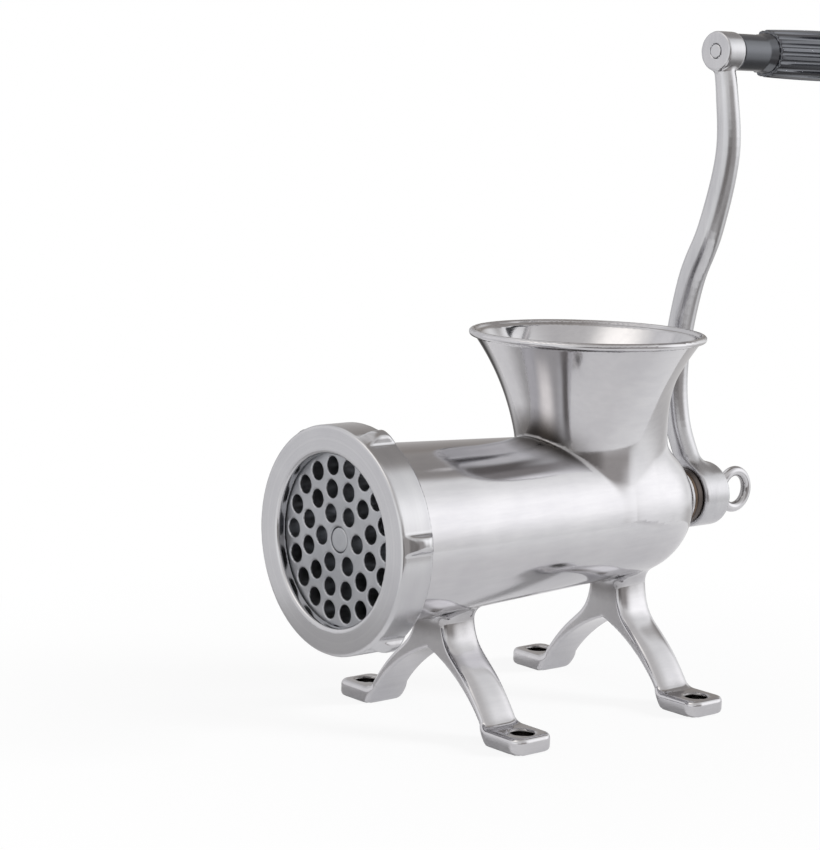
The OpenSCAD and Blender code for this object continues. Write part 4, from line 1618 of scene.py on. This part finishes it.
@dataclass
class Grip:
    """Turning grip: riveted spindle, core with its collar, fluted sleeve and end washer."""

    axis: Span = (7.18, 307.28)
    spindle_r: float = 3.3
    spindle_ease: float = 0.7
    spindle_marks: float = 0.16
    spindle_waves: float = 0.02
    start_y: float = 98.0
    collar_y: Span = (110.3, 133.3)
    collar_r: Span = (8.8, 10.0)
    flare: float = 5.0
    core_r: float = 8.0
    core_bore: float = 3.6
    core_ease: float = 0.6
    sleeve_y: Span = (133.3, 228.3)
    sleeve_r: float = 11.4
    sleeve_steps: int = 30
    end_ease: float = 0.9
    end_steps: tuple[float, ...] = (0.0, 0.15, 0.45, 0.9)
    end_run: float = 3.0
    swell: float = 1.0
    flutes: int = 18
    flute_r: float = 1.2
    flute_depth: float = 0.7
    flute_sides: int = 16
    crest_ease: float = 0.35
    end_y: Span = (228.6, 230.2)
    end_r: float = 7.5
    washer_ease: float = 0.4
    rivet_y: float = 232.8
    rivet_r: float = 5.5
    rivet_top: Span = (0.82, 0.5)  # share of the rivet's radius, and drop below its crown

    def sleeve_rings(self, angles: Array) -> list[tuple[Array, Array]]:
        """Shapes the sleeve: a slight swell, flutes along it and eased ends.

        Args:
            angles: Angle of each point of a ring.

        Returns:
            Radius and station of each point, ring by ring.
        """
        low, high = self.sleeve_y
        level = np.ones(len(angles))
        turn = fold_angle(angles, self.flutes)
        centre = self.sleeve_r + self.flute_r - self.flute_depth
        side = centre * np.sin(turn)
        sunk = np.sqrt(np.maximum(self.flute_r ** 2 - side ** 2, 0.0))
        groove = np.where(np.abs(side) < self.flute_r, centre * np.cos(turn) - sunk, np.inf)
        inner = self.core_r + FIT
        rings = [(inner * level, low * level)]
        steps = np.array(self.end_steps)
        middle = np.linspace(low + self.end_run, high - self.end_run, self.sleeve_steps)
        for y in np.concatenate([low + steps, middle, high - steps[::-1]]):
            share = (y - low) / (high - low)
            radius = self.sleeve_r + self.swell * 4.0 * share * (1.0 - share)
            depth = self.end_ease - min(y - low, high - y, self.end_ease)
            drop = self.end_ease - math.sqrt(max(self.end_ease ** 2 - depth * depth, 0.0))
            flute = np.minimum(groove, 2.0 * radius)
            ridge = smooth_union(radius * level, flute, self.crest_ease)
            rings.append((ridge - drop, y * level))
        rings.append((inner * level, high * level))
        return rings

    def spindle(self) -> list[Span]:
        """Gives the outline of the spindle with its rivet head."""
        share, drop = self.rivet_top
        return [(0.0, self.start_y), (self.spindle_r, self.start_y),
                (self.spindle_r, self.end_y[1]), (self.rivet_r, self.end_y[1]),
                (self.rivet_r * share, self.rivet_y - drop), (0.0, self.rivet_y)]

    def core(self) -> list[Span]:
        """Gives the outline of the core with its collar."""
        (start, end), (small, large) = self.collar_y, self.collar_r
        return [(self.core_bore, start), (small, start), (small, end - self.flare), (large, end),
                (self.core_r, end), (self.core_r, self.sleeve_y[1]),
                (self.core_bore, self.sleeve_y[1])]

    def build(self, shop: Workshop) -> None:
        """Turns the spindle, the core, the sleeve and the end washer.

        Args:
            shop: Dresses the pieces.
        """
        lathe = Turner(*self.axis)
        finish = replace(SATIN, name="turned_spindle_steel", marks=self.spindle_marks,
                         waves=self.spindle_waves, axis=self.axis)
        spindle = lathe.turn("grip_spindle_riveted", self.spindle(), self.spindle_ease)
        shop.dress(spindle, finish, Slot.SATIN, "drive", "grip_spindle")
        core = lathe.turn("grip_core_moulded", self.core(), self.core_ease)
        shop.dress(core, PLASTIC, Slot.PLASTIC, "grip", "grip_core")
        angles = np.linspace(0.0, math.tau, self.flutes * self.flute_sides, endpoint=False)
        sleeve = lathe.stack("fluted_sleeve_moulded", angles, self.sleeve_rings(angles))
        shop.dress(sleeve, PLASTIC, Slot.PLASTIC, "grip", "fluted_sleeve")
        outline = washer_outline((self.spindle_r + FIT, self.end_r), self.end_y)
        washer = lathe.turn("end_washer_pressed", outline, self.washer_ease)
        shop.dress(washer, finish, Slot.SATIN, "drive", "end_washer")


# Studio


def direction(azimuth: float, elevation: float) -> Triple:
    """Gives a unit vector from an azimuth, from +X towards +Y, and an elevation in degrees."""
    az, el = math.radians(azimuth), math.radians(elevation)
    return math.cos(el) * math.cos(az), math.cos(el) * math.sin(az), math.sin(el)


@dataclass(frozen=True)
class Card:
    """A light or dark part of the studio, as a soft rectangle in a direction.

    The direction, the half sides and their soft edges are in degrees. Where cards overlap, the
    later one covers the earlier.
    """

    azimuth: float
    elevation: float
    half: Span
    soft: Span
    colour: Colour
    level: float

    def share(self, bench: NodeBench, way: Socket) -> Socket:
        """Finds how far a direction lies inside the card.

        Args:
            bench: The world's node tree.
            way: Unit direction.

        Returns:
            A socket from 0 outside to 1 inside.
        """
        facing = bench.dot(way, direction(self.azimuth, self.elevation))
        across = direction(self.azimuth + 90.0, 0.0)
        up = direction(self.azimuth, self.elevation + 90.0)
        share = bench.math("GREATER_THAN", facing, 0.0)
        for axis, half, soft in zip((across, up), self.half, self.soft):
            angle = bench.math("ARCTAN2", bench.dot(way, axis), facing)
            inputs = {"Value": bench.math("ABSOLUTE", angle),
                      "From Min": math.radians(half - soft), "From Max": math.radians(half + soft),
                      "To Min": 1.0, "To Max": 0.0}
            edge = bench.node("MapRange", inputs, interpolation_type="SMOOTHSTEP").outputs[0]
            share = bench.math("MULTIPLY", share, edge)
        return share


@dataclass
class Studio:
    """Camera, floor, world and key lamp, with places and lengths in metres, angles in degrees."""

    eye: Triple = (0.76275, -0.71514, 0.28378)
    yaw: float = 50.1607
    pitch: float = 8.3239
    roll: float = 1.6804
    lens: float = 96.4
    sensor: float = 36.0
    clip: Span = (0.01, 50.0)
    walls: Colour = (0.24, 0.24, 0.25)
    floor_r: float = 0.36
    floor_sides: int = 96
    floor_fade: Span = (0.12, 0.34)
    floor_tone: Colour = (0.64, 0.64, 0.65)
    seen_glow: Span = (0.9, 1.0)
    # share of white glow that reflections see, rising towards the key lamp's side: a painted pool
    # of light
    mirrored_key_side_glow: Span = (0.1, 0.95)
    key_way: Span = (50.0, 22.0)
    key_spread: float = 18.0
    key_energy: float = 5.0
    cards: tuple[Card, ...] = (
        Card(188.0, 5.0, (54.0, 42.0), (18.0, 4.0), (1.0, 0.995, 1.01), 0.72),
        Card(-136.0, 18.0, (31.0, 27.0), (4.0, 16.0), (1.0, 0.99, 1.0), 0.91),
        Card(-48.0, 66.0, (47.0, 44.0), (18.0, 18.0), (1.0, 0.98, 0.97), 0.7),
        Card(-82.0, 8.0, (18.0, 8.0), (4.0, 4.0), (1.0, 1.0, 1.01), 1.1),
        Card(-4.0, -48.0, (48.0, 24.0), (12.0, 12.0), (1.0, 0.93, 0.9), 0.25),
        Card(10.0, 1.0, (32.0, 23.0), (8.0, 10.0), (1.0, 0.95, 0.93), 0.42),
        Card(-32.0, -10.0, (20.0, 20.0), (10.0, 10.0), (1.0, 0.93, 0.9), 0.23),
        Card(130.0, 26.0, (14.0, 30.0), (17.0, 4.0), (1.0, 0.92, 0.86), 0.32),
        Card(121.0, -27.0, (42.0, 19.0), (18.0, 4.0), (1.0, 0.98, 0.97), 0.63),
        Card(150.0, -18.0, (12.0, 9.0), (8.0, 8.0), (1.0, 0.95, 0.93), 0.06),
        Card(85.0, -52.0, (36.0, 20.0), (12.0, 8.0), (1.0, 0.97, 0.96), 0.2),
        Card(57.0, 15.0, (23.0, 17.0), (18.0, 12.0), (1.0, 0.995, 1.0), 1.5),
        Card(102.0, 65.0, (15.0, 30.0), (6.0, 14.0), (1.0, 0.93, 0.87), 0.38),
        Card(105.0, 42.0, (17.0, 18.0), (6.0, 8.0), (1.0, 0.95, 0.92), 0.36),
        Card(-95.0, 50.0, (22.0, 15.0), (18.0, 10.0), (1.0, 0.97, 0.93), 1.6),
    )

    def camera(self) -> None:
        """Sets the camera where the photograph was taken from."""
        ahead = Vector(direction(self.yaw + 90.0, -self.pitch))
        right = Vector(direction(self.yaw, 0.0))
        up = right.cross(ahead)
        roll = math.radians(self.roll)
        side = math.cos(roll) * right + math.sin(roll) * up
        top = -math.sin(roll) * right + math.cos(roll) * up
        data = bpy.data.cameras.new("view")
        data.lens, data.sensor_width, data.sensor_fit = self.lens, self.sensor, "AUTO"
        data.clip_start, data.clip_end = self.clip
        made = link(bpy.data.objects.new("view", data))
        made.matrix_world = Matrix((side, top, -ahead)).transposed().to_4x4()
        made.location = self.eye
        bpy.context.scene.camera = made

    def paint(self) -> bpy.types.Material:
        """Mixes the floor's paint, which keeps a faint shadow and whitens away from the middle. In
        reflections it glows white towards the key lamp's side: a painted pool of light that also
        blends into the white backdrop.

        Returns:
            The floor's material.
        """
        made, bench = new_material("pale_floor")
        lit = bench.node("BsdfDiffuse", {"Color": rgba(self.floor_tone)}).outputs[0]
        glow = bench.node("Emission", {"Color": WHITE, "Strength": 1.0}).outputs[0]
        place = bench.node("TexCoord").outputs["Object"]
        away = bench.vector("LENGTH", place).outputs["Value"]
        # painted light: reflections see the floor glow brighter towards the key lamp's side
        towards = bench.dot(place, direction(self.key_way[0], 0.0))
        path = bench.node("LightPath").outputs
        mirrored = bench.math("MULTIPLY",
                              bench.math("MAXIMUM", path["Is Glossy Ray"],
                                         path["Is Transmission Ray"]),
                              bench.spread(towards, self.mirrored_key_side_glow, self.floor_fade))
        seen = bench.math("MULTIPLY", path["Is Camera Ray"],
                          bench.spread(away, self.seen_glow, self.floor_fade))
        share = bench.math("MAXIMUM", seen, mirrored)
        surface = bench.node("MixShader", {0: share, 1: lit, 2: glow}).outputs[0]
        bench.node("OutputMaterial", {"Surface": surface})
        return made

    def floor(self) -> None:
        """Lays a pale round floor under the feet."""
        mesh = bmesh.new()
        bmesh.ops.create_circle(mesh, cap_ends=True, radius=self.floor_r,
                                segments=self.floor_sides)
        data = bpy.data.meshes.new("floor")
        mesh.to_mesh(data)
        mesh.free()
        data.materials.append(self.paint())
        link(bpy.data.objects.new("floor", data))

    def world(self) -> None:
        """Paints the studio's walls and cards on the world, with a white backdrop."""
        made = bpy.data.worlds.new("studio")
        made.use_nodes = True
        bpy.context.scene.world = made
        bench = NodeBench(made.node_tree)
        way = bench.vector("NORMALIZE", bench.node("TexCoord").outputs["Generated"]).outputs[0]
        path = bench.node("LightPath").outputs
        seen = bench.math("MAXIMUM", path["Is Camera Ray"], path["Is Transmission Ray"])
        bright = bench.math("MAXIMUM", seen, path["Is Glossy Ray"])
        colour = bench.mix(bright, rgba(self.walls), WHITE)
        for card in self.cards:
            colour = bench.mix(card.share(bench, way), colour, rgba(card.colour, card.level))
        colour = bench.mix(seen, colour, WHITE)
        back = bench.node("Background", {"Color": colour, "Strength": 1.0}).outputs[0]
        bench.node("OutputWorld", {"Surface": back})

    def lamp(self) -> None:
        """Hangs a soft key lamp beside the brightest card, which the metal mirrors instead."""
        data = bpy.data.lights.new("key", "SUN")
        data.angle, data.energy = math.radians(self.key_spread), self.key_energy
        made = link(bpy.data.objects.new("key", data))
        way = Vector(direction(*self.key_way))
        made.rotation_euler = way.to_track_quat("Z", "Y").to_euler()
        made.visible_glossy = False

    def build(self) -> None:
        """Sets up the whole studio."""
        bpy.context.scene.view_settings.view_transform = "Standard"
        self.camera()
        self.floor()
        self.world()
        self.lamp()


def main() -> None:
    """Builds the studio and every sub-assembly."""
    logging.basicConfig(level=logging.INFO, format="%(message)s")
    shop = Workshop()
    Studio().build()
    casting = Casting()
    casting.build(shop)
    Bearing().build(shop)
    OutletRing().build(shop)
    CuttingSet().build(shop)
    FeedScrew().build(shop, casting)
    Crank().build(shop)
    EyeScrew().build(shop)
    Grip().build(shop)


if __name__ == "__main__":
    main()
